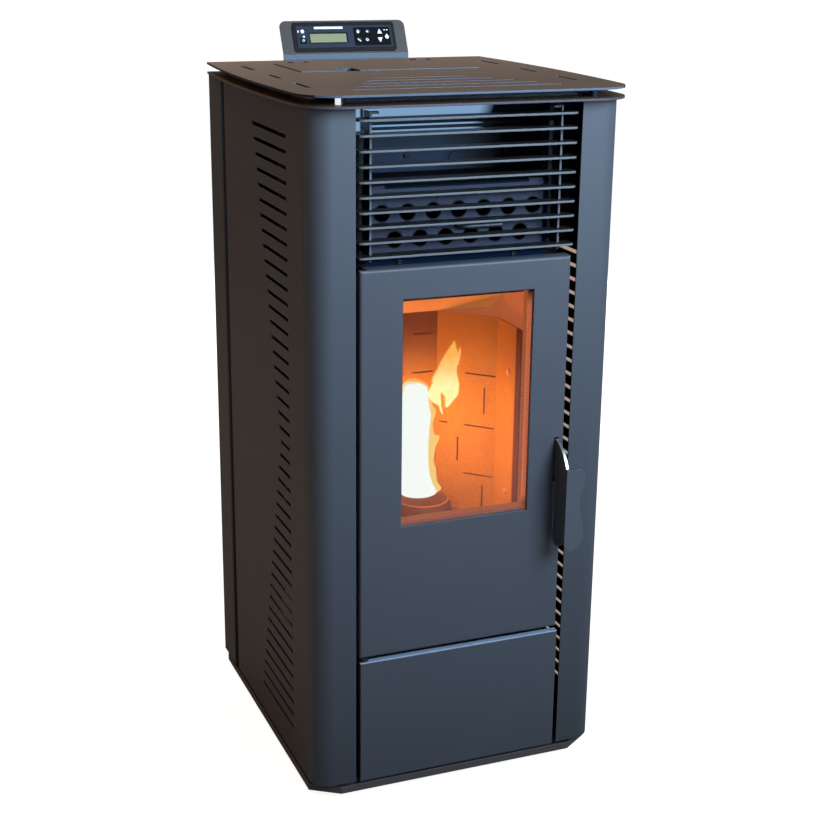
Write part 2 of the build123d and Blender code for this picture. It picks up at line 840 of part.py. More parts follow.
with BuildPart() as front_frame:
    for hand in (-1, 1):
        with BuildSketch(level(tray_floor)):
            with BuildLine():
                Polyline(
                    (hand * firebox_half, post_back),
                    (hand * firebox_half, post_front),
                    (hand * post_out, post_front),
                )
                offset(
                    amount=sheet,
                    side=Side.LEFT if hand > 0 else Side.RIGHT,
                    kind=Kind.INTERSECTION,
                )
            make_face()
        extrude(amount=rim_low - tray_floor)
        with BuildSketch(upright(post_front)):
            field(
                *sorted((hand * firebox_half, hand * (casing_half - sheet - run))),
                blind_bottom,
                casing_top - sheet - run,
            )
        extrude(amount=-sheet)
    for base, up in (
        (door_top + 2.2, 1),
        (door_bottom - 1.9 - bracket_thick, -1),
    ):
        with BuildSketch(level(base)):
            field(hinge_x - bracket_half, hinge_x + bracket_half, hinge_depth, post_front)
            with Locations((hinge_x, hinge_depth)):
                Circle(bracket_half)
        extrude(amount=bracket_thick)
        tab_low = base if up > 0 else base + bracket_thick - bracket_tab
        with BuildSketch(upright(post_front - sheet)):
            field(hinge_x - bracket_half, hinge_x + bracket_half, tab_low, tab_low + bracket_tab)
        extrude(amount=-sheet)
        pin_start = base + bracket_thick if up > 0 else base
        with BuildSketch(level(pin_start)):
            with Locations((hinge_x, hinge_depth)):
                Circle(hinge_pin)
        extrude(amount=-up * (bracket_thick + hinge_boss))
finish(front_frame, "front_frame")

lamella_round = 10.0
notch_split = 18.5

with BuildPart() as grille_lamellae:
    for i in range(lamella_count):
        with BuildSketch(level(lamella_top - i * lamella_pitch)) as blade:
            field(-lamella_half, lamella_half, 0, lamella_deep)
            fillet(blade.vertices().group_by(Axis.Y)[0], lamella_round)
            for x in (-comb_x, comb_x):
                field(
                    x - plate / 2 - run,
                    x + plate / 2 + run,
                    notch_split,
                    lamella_deep,
                    Mode.SUBTRACT,
                )
        extrude(amount=plate)
finish(grille_lamellae, "grille_lamellae")

comb_tab_high, comb_hook = 12.0, 12.0
comb_tabs = (800.0, 962.0)

with BuildPart() as grille_combs:
    for hand in (-1, 1):
        with BuildSketch(side(hand * comb_x - plate / 2)):
            field(comb_front, comb_back, comb_bottom, comb_top)
            for low in comb_tabs:
                field(comb_back, post_front, low, low + comb_tab_high)
            for i in range(lamella_count):
                height = lamella_top - i * lamella_pitch
                field(comb_front, notch_split + run, height - run, height + plate + run, Mode.SUBTRACT)
        extrude(amount=plate)
        with BuildSketch(level(comb_top - plate)):
            inner = hand * (comb_x - comb_hook)
            field(
                min(inner, hand * comb_x),
                max(inner, hand * comb_x),
                comb_front + 1,
                comb_front + 9,
            )
        extrude(amount=plate)
finish(grille_combs, "grille_combs")

deflector_half, cheek_back, cheek_low = 150.0, 112.0, 944.0
band_front, band_back, band_low = 60.0, 80.0, 967.0
slat_front, slat_back = 98.0, 108.0
slat_levels = (947.0, 954.0, 961.0)

with BuildPart() as air_deflector:
    with BuildSketch(side(-deflector_half)):
        with BuildLine():
            Polyline(
                (band_front - 12, rim_low - 0.5 * sheet),
                (band_front, rim_low - 0.5 * sheet),
                (band_back, band_low),
            )
            offset(amount=sheet / 2, side=Side.BOTH, kind=Kind.INTERSECTION)
        make_face()
        for height in slat_levels:
            field(slat_front, slat_back, height, height + 1.2)
    extrude(amount=2 * deflector_half)
    for x in (-deflector_half, deflector_half - sheet):
        with BuildSketch(side(x)):
            field(post_back + run, cheek_back, cheek_low, rim_low)
        extrude(amount=sheet)
    with BuildSketch(upright(post_front - 1)):
        for hand in (-1, 1):
            field(*sorted((hand * (firebox_half - 1), hand * (post_out + 1))), cheek_low - 4, rim_low)
    extrude(amount=-(post_back - post_front + 2 * run + 1), mode=Mode.SUBTRACT)
finish(air_deflector, "air_deflector")

shield_depth, shield_half, shield_top, shield_foot = 150.0, 150.0, 988.0, 18.0
oval_x, oval_z, oval_wide, oval_high = 50.0, 902.0, 38.0, 15.0

with BuildPart() as heat_shield:
    with BuildSketch(upright(shield_depth)):
        field(-shield_half, shield_half, firebox_top, shield_top)
    extrude(amount=-sheet)
    with BuildSketch(level(firebox_top)):
        field(-firebox_half, firebox_half, shield_depth, shield_depth + shield_foot)
    extrude(amount=sheet)
    with BuildSketch(upright(shield_depth)):
        with Locations((oval_x, oval_z)):
            SlotOverall(oval_wide, oval_high)
    extrude(amount=1.5, taper=20)
finish(heat_shield, "heat_shield")

# ---------------------------------------------------------------- fire door
glass_front = window_lip
rope_depth = glass_front + glass_thick + rope
inner_front = rope_depth + rope
seal_depth = firebox_front - run - rope
seal_seat = seal_depth - rope
seal_band = 6.0
inner_opening = 6.85       # how far the inner plate's opening stays inside the window
inner_plate = 2.0
glass_corner, rope_corner = 12.0, 8.0

with BuildPart() as fire_door:
    with BuildSketch(upright(0)):
        field(door_left, door_right, door_bottom, door_top)
    extrude(amount=-door_deep)
    fillet(fire_door.edges().group_by(Axis.Y)[0], door_soft)
    with BuildSketch(upright(door_skin)):
        field(
            door_left + door_skin,
            door_right - door_skin,
            door_bottom + door_skin,
            door_top - door_skin,
        )
    extrude(amount=-door_deep, mode=Mode.SUBTRACT)
    with BuildSketch(upright(door_skin)):
        field(
            window_x - window_half - door_skin,
            window_x + window_half + door_skin,
            window_bottom - door_skin,
            window_top + door_skin,
        )
    extrude(amount=door_skin - window_lip)
    for low, high in (
        (door_bottom + 1, door_bottom + door_skin + hinge_boss),
        (door_top - door_skin - hinge_boss, door_top - 1),
    ):
        with BuildSketch(level(low)):
            field(door_left + 1, hinge_x + 6, 1, hinge_depth + 7)
        extrude(amount=high - low)
    with BuildSketch(upright(0)):
        field(
            window_x - window_half,
            window_x + window_half,
            window_bottom,
            window_top,
        )
        field(
            lever_x - lever_slot_half,
            lever_x + lever_slot_half,
            lever_slot_bottom,
            lever_slot_top,
        )
    extrude(amount=-door_deep, mode=Mode.SUBTRACT)
    for start, amount in ((door_bottom, hinge_boss), (door_top, -hinge_boss)):
        with BuildSketch(level(start)):
            with Locations((hinge_x, hinge_depth)):
                Circle(hinge_pin + pin_play)
        extrude(amount=amount, mode=Mode.SUBTRACT)
finish(fire_door, "fire_door")

with BuildPart() as door_inner_frame:
    with BuildSketch(upright(inner_front)):
        field(
            door_left + door_skin + run,
            door_right - door_skin - run,
            door_bottom + door_skin + run,
            door_top - door_skin - run,
        )
    extrude(amount=-inner_plate)
    with BuildSketch(upright(inner_front)):
        field(-seal_half - seal_band, seal_half + seal_band, seal_bottom - seal_band, seal_top + rope)
        field(
            -seal_half + seal_band,
            seal_half - seal_band,
            seal_bottom + seal_band,
            seal_top - seal_band,
            Mode.SUBTRACT,
        )
    extrude(amount=inner_front - seal_seat)
    with BuildSketch(upright(inner_front)):
        field(
            window_x - window_half + inner_opening,
            window_x + window_half - inner_opening,
            window_bottom + inner_opening,
            window_top - inner_opening,
        )
        field(
            lever_x - lever_slot_half,
            lever_x + lever_slot_half,
            lever_z - claw_out - 4,
            lever_slot_top + 4,
        )
    extrude(amount=-inner_plate, mode=Mode.SUBTRACT)
finish(door_inner_frame, "door_inner_frame")

with BuildPart() as door_glass:
    with BuildSketch(upright(glass_front)):
        with Locations((window_x, (window_bottom + window_top) / 2)):
            RectangleRounded(
                2 * (window_half + glass_over),
                window_top - window_bottom + 2 * glass_over,
                glass_corner,
            )
    extrude(amount=-glass_thick)
finish(door_glass, "door_glass")


def rope_path(x0, x1, z0, z1, depth, corner):
    """Closed run of a sealing rope round a rectangle with round corners."""
    y = front_y + depth
    points = [(x0, y, z0), (x1, y, z0), (x1, y, z1), (x0, y, z1)]
    return FilletPolyline(*points, radius=corner, close=True)


with BuildPart() as glass_gasket:
    with BuildLine() as around:
        rope_path(
            window_x - window_half,
            window_x + window_half,
            window_bottom,
            window_top,
            rope_depth,
            rope_corner,
        )
    with BuildSketch(Plane(origin=around.line @ 0, x_dir=(0, 1, 0), z_dir=around.line % 0)):
        RegularPolygon(rope, 8, major_radius=False, rotation=22.5)
    sweep(path=around.line)
finish(glass_gasket, "glass_gasket")

with BuildPart() as door_gasket:
    with BuildLine() as around:
        rope_path(-seal_half, seal_half, seal_bottom, seal_top, seal_depth, rope_corner)
    with BuildSketch(Plane(origin=around.line @ 0, x_dir=(0, 1, 0), z_dir=around.line % 0)):
        RegularPolygon(rope, 8, major_radius=False, rotation=22.5)
    sweep(path=around.line)
finish(door_gasket, "door_gasket")

clip_wide, clip_tall, clip_x, clip_levels = 14.0, 18.0, 99.0, (470.0, 684.0)

with BuildPart() as glass_clips:
    with BuildSketch(upright(inner_front + inner_plate)):
        for height in clip_levels:
            with Locations((window_x - clip_x, height), (window_x + clip_x, height)):
                RectangleRounded(clip_wide, clip_tall, 2)
    extrude(amount=-inner_plate)
finish(glass_clips, "glass_clips")

# ---------------------------------------------------------------- lever and catch
ear_thick, ear_gap, catch_gap = 2.2, 0.6, 2.2
ear_half = 10.0
catch_z = lever_z + catch_rise
grip_thick = 3.0
grip_top, grip_bottom = 483.0, 359.0
lever_crown = 6.0          # rise of the arc from the grip to the slot
lever_heel, lever_toe, lever_lift = 4.0, 14.0, 9.0
slot_play = 2.0            # between the lever and the ends of its slot
grip_shoulder, grip_wide, grip_waist, grip_belly = 22.0, 27.5, 22.0, 26.0
grip_drop, grip_waist_drop, grip_foot = 8.0, 48.0, 12.0

with BuildPart() as lever_bracket:
    for x in (lever_x - lever_thick / 2 - ear_gap - ear_thick, lever_x + lever_thick / 2 + ear_gap):
        with BuildSketch(side(x)):
            field(door_skin, inner_front, lever_z - ear_half, lever_z + ear_half)
        extrude(amount=ear_thick)
    ear_span = lever_thick + 2 * ear_gap + 2 * ear_thick
    with BuildSketch(side(lever_x - ear_span / 2)):
        with Locations((lever_depth, lever_z)):
            Circle(lever_pin)
    extrude(amount=ear_span)
finish(lever_bracket, "lever_bracket")

claw_top, claw_foot, claw_root = -5.0, -44.0, -26.0


def claw_point(radius, angle):
    """Point of the claw, at an angle about the lever's pin."""
    return (
        lever_depth + radius * cos(radians(angle)),
        lever_z + radius * sin(radians(angle)),
    )


with BuildPart() as door_lever:
    with BuildSketch(side(lever_x - lever_thick / 2)):
        with BuildLine():
            fold = grip_thick - grip_reach
            heel_z = grip_bottom + lever_lift
            slot_high_z, slot_low_z = lever_slot_top - slot_play, lever_slot_bottom + slot_play
            SagittaArc((fold, grip_top), (0, slot_high_z), lever_crown)
            Polyline(
                (0, slot_high_z),
                (lever_depth + lever_hub / 2, lever_z + lever_hub / 2),
                (lever_depth - lever_hub / 2, lever_z - lever_hub / 2),
                (-lever_heel, slot_low_z),
                (-lever_heel, heel_z),
            )
            TangentArc((-lever_heel, heel_z), (-lever_toe, grip_bottom), tangent=(0, -1))
            Polyline((-lever_toe, grip_bottom), (fold, heel_z), (fold, grip_top))
        make_face()
        with Locations((lever_depth, lever_z)):
            Circle(lever_hub)
        with BuildLine():
            Line(claw_point(claw_in, claw_root), claw_point(claw_in, claw_top))
            Line(claw_point(claw_in, claw_top), claw_point(claw_out, claw_top))
            ThreePointArc(
                claw_point(claw_out, claw_top),
                claw_point(claw_out, (claw_top + claw_foot) / 2),
                claw_point(claw_out, claw_foot),
            )
            Line(claw_point(claw_out, claw_foot), claw_point(lever_hub - 1, claw_foot - 40))
            Line(claw_point(lever_hub - 1, claw_foot - 40), claw_point(lever_hub - 1, claw_top))
            Line(claw_point(lever_hub - 1, claw_top), claw_point(claw_in, claw_root))
        make_face()
        with Locations((lever_depth, lever_z)):
            Circle(lever_pin + pin_play, mode=Mode.SUBTRACT)
    extrude(amount=lever_thick)
    with BuildSketch(upright(-grip_reach)):
        with BuildLine():
            grip_left = lever_x - lever_thick / 2
            Line((grip_left, grip_top), (grip_left + grip_shoulder, grip_top))
            Spline(
                (grip_left + grip_shoulder, grip_top),
                (grip_left + grip_wide, grip_top - grip_drop),
                (grip_left + grip_waist, grip_top - grip_waist_drop),
                (grip_left + grip_belly, grip_bottom + grip_foot),
                (grip_left + grip_foot, grip_bottom),
            )
            TangentArc(
                (grip_left + grip_foot, grip_bottom),
                (grip_left, grip_bottom + grip_foot),
                tangent=(-1, 0),
            )
            Line((grip_left, grip_bottom + grip_foot), (grip_left, grip_top))
        make_face()
    extrude(amount=-grip_thick)
finish(door_lever, "door_lever")

with BuildPart() as latch_catch:
    for x in (
        lever_x - lever_thick / 2 - catch_gap - ear_thick,
        lever_x + lever_thick / 2 + catch_gap,
    ):
        with BuildSketch(side(x)):
            field(catch_depth - 5, post_front, catch_z - 8, catch_z + 8)
        extrude(amount=ear_thick)
    catch_span = lever_thick + 2 * catch_gap + 2 * ear_thick
    with BuildSketch(side(lever_x - catch_span / 2)):
        with Locations((catch_depth, catch_z)):
            Circle(catch_pin)
    extrude(amount=catch_span)
finish(latch_catch, "latch_catch")

# ---------------------------------------------------------------- lower panel and ash drawer
drawer_half, drawer_high, drawer_back = 126.0, 200.0, 228.0
drawer_sheet = 1.5

with BuildPart() as lower_panel:
    with BuildSketch(upright(0)):
        field(panel_left, panel_right, panel_bottom, panel_top)
    extrude(amount=-panel_deep)
    fillet(lower_panel.edges().group_by(Axis.Y)[0], 1.2)
    with BuildSketch(upright(sheet)):
        field(
            panel_left + sheet,
            panel_right - sheet,
            panel_bottom + sheet,
            panel_top - sheet,
        )
    extrude(amount=-panel_deep, mode=Mode.SUBTRACT)
finish(lower_panel, "lower_panel")

with BuildPart() as ash_drawer:
    with BuildSketch(level(drawer_low + run)):
        field(-drawer_half, drawer_half, sheet, drawer_back)
    extrude(amount=drawer_high - drawer_low)
    with BuildSketch(level(drawer_low + run + drawer_sheet)):
        field(
            -drawer_half + drawer_sheet,
            drawer_half - drawer_sheet,
            sheet + drawer_sheet,
            drawer_back - drawer_sheet,
        )
    extrude(amount=drawer_high, mode=Mode.SUBTRACT)
finish(ash_drawer, "ash_drawer")

# ---------------------------------------------------------------- flue gas fan and flue
exhaust_radius, exhaust_front, exhaust_back = 62.0, 262.0, 318.0
exhaust_out_low, exhaust_out_left = 186.0, 26.0
impeller_radius, impeller_blades = 54.0, 8
impeller_front, impeller_back = 276.0, 310.0
exhaust_shaft = 4.0
exhaust_motor_radius, exhaust_motor_long = 32.0, 46.0
flue_box_left, flue_box_low, flue_box_high = -54.0, 169.0, 257.0

with BuildPart() as exhaust_fan_housing:
    with BuildSketch(upright(exhaust_front)):
        with Locations((exhaust_x, exhaust_z)):
            Circle(exhaust_radius)
        field(exhaust_out_left, exhaust_x, exhaust_out_low, exhaust_z + exhaust_radius)
    extrude(amount=exhaust_front - exhaust_back)
    with BuildSketch(upright(firebox_back)):
        with Locations((exhaust_x, exhaust_z)):
            Circle(exhaust_neck)
    extrude(amount=firebox_back - exhaust_front)
    with BuildSketch(upright(exhaust_front + sheet)):
        with Locations((exhaust_x, exhaust_z)):
            Circle(exhaust_radius - sheet)
        field(
            exhaust_out_left,
            exhaust_x,
            exhaust_out_low + sheet,
            exhaust_z + exhaust_radius - sheet,
        )
    extrude(amount=exhaust_front - exhaust_back + 2 * sheet, mode=Mode.SUBTRACT)
    with BuildSketch(upright(firebox_back)):
        with Locations((exhaust_x, exhaust_z)):
            Circle(exhaust_neck - sheet)
    extrude(amount=firebox_back - exhaust_front - sheet, mode=Mode.SUBTRACT)
    with BuildSketch(upright(exhaust_back)):
        with Locations((exhaust_x, exhaust_z)):
            Circle(exhaust_shaft + pin_play)
    extrude(amount=sheet, mode=Mode.SUBTRACT)
finish(exhaust_fan_housing, "exhaust_fan_housing")

shaft_grip = 16.0

with BuildPart() as exhaust_impeller:
    with BuildSketch(upright(impeller_back - sheet)):
        with Locations((exhaust_x, exhaust_z)):
            Circle(impeller_radius)
    extrude(amount=-sheet)
    with BuildSketch(upright(impeller_front)):
        with Locations((exhaust_x, exhaust_z)):
            with PolarLocations(0, impeller_blades):
                with Locations((impeller_radius / 2 + 4, 0)):
                    Rectangle(impeller_radius - 10, sheet)
            Circle(3 * exhaust_shaft)
    extrude(amount=impeller_front - impeller_back)
    with BuildSketch(upright(impeller_back)):
        with Locations((exhaust_x, exhaust_z)):
            Circle(exhaust_shaft)
    extrude(amount=-(exhaust_back - impeller_back + shaft_grip))
finish(exhaust_impeller, "exhaust_impeller")

with BuildPart() as flue_spigot:
    with BuildSketch(upright(exhaust_front)):
        field(flue_box_left, exhaust_out_left, flue_box_low, flue_box_high)
    extrude(amount=exhaust_front - exhaust_back)
    for start, radius in (
        (exhaust_back, flue_radius - pipe_step),
        (cover_back + pipe_start, flue_radius),
    ):
        with BuildSketch(upright(start)):
            with Locations((flue_x, flue_z)):
                Circle(radius)
        extrude(amount=start - rear_reach)
    with BuildSketch(upright(exhaust_front + sheet)):
        field(
            flue_box_left + sheet,
            exhaust_out_left - sheet,
            flue_box_low + sheet,
            flue_box_high - sheet,
        )
    extrude(amount=exhaust_front - exhaust_back + 2 * sheet, mode=Mode.SUBTRACT)
    with BuildSketch(upright(exhaust_back - sheet)):
        with Locations((flue_x, flue_z)):
            Circle(flue_radius - flue_wall)
    extrude(amount=exhaust_back - rear_reach - sheet, mode=Mode.SUBTRACT)
    with BuildSketch(side(exhaust_out_left)):
        field(
            exhaust_front + sheet,
            exhaust_back - sheet,
            exhaust_out_low + sheet,
            exhaust_z + exhaust_radius - sheet,
        )
    extrude(amount=-sheet, mode=Mode.SUBTRACT)
finish(flue_spigot, "flue_spigot")

with BuildPart() as air_intake_pipe:
    for start, radius in (
        (firebox_back, intake_radius - pipe_step),
        (cover_back + pipe_start, intake_radius),
    ):
        with BuildSketch(upright(start)):
            with Locations((intake_x, intake_z)):
                Circle(radius)
        extrude(amount=start - intake_reach)
    with BuildSketch(upright(firebox_back)):
        with Locations((intake_x, intake_z)):
            Circle(intake_radius - intake_wall)
    extrude(amount=firebox_back - intake_reach, mode=Mode.SUBTRACT)
finish(air_intake_pipe, "air_intake_pipe")

# ---------------------------------------------------------------- room air fan
blower_depth, blower_z, blower_radius = 420.0, 98.0, 46.0
blower_left, blower_right = -130.0, 108.0
blower_out_front, blower_out_back, blower_out_top = 376.0, 412.0, 158.0
drum_radius, drum_blades, blade_deep = 38.0, 14, 10.0
blower_shaft = 4.0
blower_motor_radius, blower_motor_long = 28.0, 36.0
blower_foot_front, blower_foot_back = 388.0, 452.0

with BuildPart() as convection_fan_housing:
    with BuildSketch(side(blower_left)):
        with Locations((blower_depth, blower_z)):
            Circle(blower_radius)
        field(blower_out_front, blower_out_back, blower_z, blower_out_top)
    extrude(amount=blower_right - blower_left)
    with BuildSketch(side(blower_left + sheet)):
        with Locations((blower_depth, blower_z)):
            Circle(blower_radius - sheet)
        field(
            blower_out_front + sheet,
            blower_out_back - sheet,
            blower_z,
            blower_out_top,
        )
    extrude(amount=blower_right - blower_left - 2 * sheet, mode=Mode.SUBTRACT)
    with BuildSketch(side(blower_left)):
        with Locations((blower_depth, blower_z)):
            Circle(blower_shaft + pin_play)
    extrude(amount=blower_right - blower_left, mode=Mode.SUBTRACT)
    with BuildSketch(upright(blower_depth + 20)):
        field(
            blower_left + 12,
            blower_right - 12,
            blower_z - 16,
            blower_z + 20,
        )
    extrude(amount=-blower_radius, mode=Mode.SUBTRACT)
    for x in (blower_left, blower_right - sheet):
        with BuildSketch(side(x)):
            field(blower_foot_front, blower_foot_back, tray_floor, blower_z - 30)
        extrude(amount=sheet)
finish(convection_fan_housing, "convection_fan_housing")

with BuildPart() as convection_impeller:
    with BuildSketch(side(blower_left + sheet + 3)):
        with Locations((blower_depth, blower_z)):
            with PolarLocations(drum_radius - blade_deep / 2 - 1, drum_blades):
                Rectangle(blade_deep, 1.2, rotation=35)
    extrude(amount=blower_right - blower_left - 2 * sheet - 6)
    for x in (blower_left + sheet + 3, blower_right - sheet - 5):
        with BuildSketch(side(x)):
            with Locations((blower_depth, blower_z)):
                Circle(drum_radius)
        extrude(amount=sheet)
    with BuildSketch(side(blower_left)):
        with Locations((blower_depth, blower_z)):
            Circle(blower_shaft)
    extrude(amount=blower_right - blower_left + shaft_grip)
finish(convection_impeller, "convection_impeller")

with BuildPart() as fan_motors:
    with BuildSketch(upright(exhaust_back)):
        with Locations((exhaust_x, exhaust_z)):
            Circle(exhaust_motor_radius)
    extrude(amount=-exhaust_motor_long)
    with BuildSketch(upright(exhaust_back)):
        with Locations((exhaust_x, exhaust_z)):
            Circle(exhaust_shaft + pin_play)
    extrude(amount=-shaft_grip - run, mode=Mode.SUBTRACT)
    with BuildSketch(side(blower_right)):
        with Locations((blower_depth, blower_z)):
            Circle(blower_motor_radius)
    extrude(amount=blower_motor_long)
    with BuildSketch(side(blower_right)):
        with Locations((blower_depth, blower_z)):
            Circle(blower_shaft + pin_play)
    extrude(amount=shaft_grip + run, mode=Mode.SUBTRACT)
finish(fan_motors, "fan_motors")

# ---------------------------------------------------------------- control panel
tilt_sin, tilt_cos = sin(radians(panel_tilt)), cos(radians(panel_tilt))
panel_plane = Plane(
    origin=(0, front_y + panel_depth, panel_foot_top),
    x_dir=(1, 0, 0),
    z_dir=(0, -tilt_cos, tilt_sin),
)
panel_round = 10.0
bracket_low = 930.0
bezel_round, bezel_proud, bezel_back = 5.0, 1.0, 2.0
housing_inset, housing_deep = 4.0, 24.0
housing_wall = 2.0
lcd_left, lcd_right, lcd_low, lcd_high = -57.0, 3.5, 18.9, 33.4
keypad_left, keypad_right, keypad_low, keypad_high = 16.0, 77.0, 12.8, 42.6
keypad_proud = 0.6
button_radius, button_rise = 3.2, 1.5
button_lip, lip_thick, lip_gap = 1.4, 1.0, 0.2
round_buttons = {
    "menu_button": (23.7, 35.6),
    "set_button": (39.7, 35.6),
    "timer_button": (23.9, 21.7),
    "mode_button": (36.7, 21.7),
}
arrow_buttons = {"up_button": (59.3, 35.0, 90), "down_button": (58.5, 23.4, -90)}
arrow_radius = 4.6
power_place = (-69.0, 21.7)
power_radius = 3.4

with BuildPart() as control_bracket:
    with BuildSketch(side(-panel_half)):
        with BuildLine():
            Polyline(
                (cover_back, bracket_low),
                (cover_back, rim_low - 9),
                (panel_depth, rim_low - 1),
                (panel_depth, panel_foot_top),
                (
                    panel_depth + panel_slope * tilt_sin,
                    panel_foot_top + panel_slope * tilt_cos,
                ),
            )
            offset(amount=sheet, side=Side.RIGHT, kind=Kind.INTERSECTION)
        make_face()
    extrude(amount=2 * panel_half)
    top_edges = control_bracket.edges().filter_by(lambda e: abs(e.length - sheet) < 0.01)
    fillet(top_edges.group_by(Axis.Z)[-1], panel_round)
    with BuildSketch(panel_plane):
        with Locations((0, (bezel_low + bezel_high) / 2)):
            RectangleRounded(2 * bezel_half, bezel_high - bezel_low, bezel_round)
    extrude(amount=-2 * sheet, mode=Mode.SUBTRACT)
finish(control_bracket, "control_bracket")


def button_shapes(gap):
    """Outlines of all the buttons in the panel's plane, with a gap around them."""
    for place in round_buttons.values():
        with Locations(place):
            Circle(button_radius + gap)
    for x, y, turn in arrow_buttons.values():
        with Locations((x, y)):
            RegularPolygon(arrow_radius + 2 * gap, 3, rotation=turn)


with BuildPart() as control_housing:
    bezel_mid = (bezel_low + bezel_high) / 2
    with BuildSketch(panel_plane.offset(bezel_proud)):
        with Locations((0, bezel_mid)):
            RectangleRounded(
                2 * (bezel_half - run),
                bezel_high - bezel_low - 2 * run,
                bezel_round - run,
            )
    extrude(amount=-bezel_proud - bezel_back)
    with BuildSketch(panel_plane.offset(-bezel_back)):
        with Locations((0, bezel_mid)):
            RectangleRounded(
                2 * (bezel_half - housing_inset),
                bezel_high - bezel_low - 2 * housing_inset,
                bezel_round,
            )
    extrude(amount=-housing_deep)
    with BuildSketch(panel_plane.offset(-bezel_back)):
        with Locations((0, bezel_mid)):
            RectangleRounded(
                2 * (bezel_half - housing_inset - housing_wall),
                bezel_high - bezel_low - 2 * housing_inset - 2 * housing_wall,
                bezel_round - housing_wall,
            )
    extrude(amount=housing_wall - housing_deep, mode=Mode.SUBTRACT)
    with BuildSketch(panel_plane.offset(bezel_proud)):
        field(lcd_left, lcd_right, lcd_low, lcd_high)
        button_shapes(run)
        with Locations(power_place):
            Circle(power_radius + run)
    extrude(amount=-bezel_proud - bezel_back, mode=Mode.SUBTRACT)
finish(control_housing, "control_housing")

window_flange = 3.0
with BuildPart() as display_window:
    with BuildSketch(panel_plane.offset(-bezel_back)):
        field(
            lcd_left - window_flange,
            lcd_right + window_flange,
            lcd_low - window_flange,
            lcd_high + window_flange,
        )
    extrude(amount=-1.5)
    with BuildSketch(panel_plane.offset(-bezel_back)):
        field(lcd_left + 0.1, lcd_right - 0.1, lcd_low + 0.1, lcd_high - 0.1)
    extrude(amount=bezel_back)
finish(display_window, "display_window")

with BuildPart() as keypad_frame:
    with BuildSketch(panel_plane.offset(bezel_proud)):
        with Locations(((keypad_left + keypad_right) / 2, (keypad_low + keypad_high) / 2)):
            RectangleRounded(keypad_right - keypad_left, keypad_high - keypad_low, 2)
    extrude(amount=keypad_proud)
    with BuildSketch(panel_plane.offset(bezel_proud)):
        button_shapes(run)
    extrude(amount=keypad_proud, mode=Mode.SUBTRACT)
finish(keypad_frame, "keypad_frame")

lip_front = -bezel_back - lip_gap
button_front = bezel_proud + keypad_proud + button_rise

for name, place in round_buttons.items():
    with BuildPart() as button:
        with BuildSketch(panel_plane.offset(lip_front - lip_thick)):
            with Locations(place):
                Circle(button_radius)
        extrude(amount=button_front - lip_front + lip_thick)
        with BuildSketch(panel_plane.offset(lip_front - lip_thick)):
            with Locations(place):
                Circle(button_radius + button_lip)
        extrude(amount=lip_thick)
    finish(button, name)

for name, (x, y, turn) in arrow_buttons.items():
    with BuildPart() as button:
        with BuildSketch(panel_plane.offset(lip_front - lip_thick)):
            with Locations((x, y)):
                RegularPolygon(arrow_radius, 3, rotation=turn)
        extrude(amount=button_front - lip_front + lip_thick)
        with BuildSketch(panel_plane.offset(lip_front - lip_thick)):
            with Locations((x, y)):
                RegularPolygon(arrow_radius + 2 * button_lip, 3, rotation=turn)
        extrude(amount=lip_thick)
    finish(button, name)

with BuildPart() as power_button:
    with BuildSketch(panel_plane.offset(lip_front - lip_thick)):
        with Locations(power_place):
            Circle(power_radius)
    extrude(amount=bezel_proud + button_rise - lip_front + lip_thick)
    with BuildSketch(panel_plane.offset(lip_front - lip_thick)):
        with Locations(power_place):
            Circle(power_radius + button_lip)
    extrude(amount=lip_thick)
finish(power_button, "power_button")

# ---------------------------------------------------------------- mains inlet and switch
inlet_deep, inlet_rim = 28.0, 2.5
socket_z, socket_wide, socket_tall, socket_deep = 82.0, 25.0, 17.0, 20.0
switch_z, switch_wide, switch_tall, switch_deep = 110.0, 21.0, 19.0, 14.0
rocker_gap = 0.6
rocker_pin, rocker_axis = 1.5, cover_back - 3.0

with BuildPart() as power_inlet:
    with BuildSketch(upright(cover_back)):
        with Locations((inlet_x, inlet_z)):
            RectangleRounded(inlet_wide, inlet_tall, 3)
    extrude(amount=-inlet_rim)
    with BuildSketch(upright(cover_back)):
        with Locations((inlet_x, inlet_z)):
            Rectangle(inlet_wide - 8 - 2 * run, inlet_tall - 8 - 2 * run)
    extrude(amount=inlet_deep)
    with BuildSketch(upright(cover_back + inlet_rim)):
        with Locations((inlet_x, socket_z)):
            Rectangle(socket_wide, socket_tall)
    extrude(amount=socket_deep, mode=Mode.SUBTRACT)
    with BuildSketch(upright(cover_back + inlet_rim)):
        with Locations((inlet_x, switch_z)):
            Rectangle(switch_wide, switch_tall)
    extrude(amount=switch_deep, mode=Mode.SUBTRACT)
    with BuildSketch(upright(cover_back + inlet_rim - socket_deep)):
        for x, z in ((-6, -2), (6, -2), (0, 3)):
            with Locations((inlet_x + x, socket_z + z)):
                Rectangle(2, 5)
    extrude(amount=-socket_deep + 4)
    with BuildSketch(side(inlet_x - switch_wide / 2)):
        with Locations((rocker_axis, switch_z)):
            Circle(rocker_pin)
    extrude(amount=switch_wide)
finish(power_inlet, "power_inlet")

with BuildPart() as rocker_switch:
    with BuildSketch(side(inlet_x - switch_wide / 2 + rocker_gap)):
        with BuildLine():
            face = rocker_axis + 6
            Polyline(
                (rocker_axis - 5, switch_z),
                (rocker_axis - 1, switch_z - 7.5),
                (face + 0.5, switch_z - 7.5),
                (face - 1.5, switch_z),
                (face - 2.5, switch_z + 7.5),
                (rocker_axis - 1, switch_z + 7.5),
                close=True,
            )
        make_face()
        with Locations((rocker_axis, switch_z)):
            Circle(rocker_pin + pin_play, mode=Mode.SUBTRACT)
    extrude(amount=switch_wide - 2 * rocker_gap)
finish(rocker_switch, "rocker_switch")
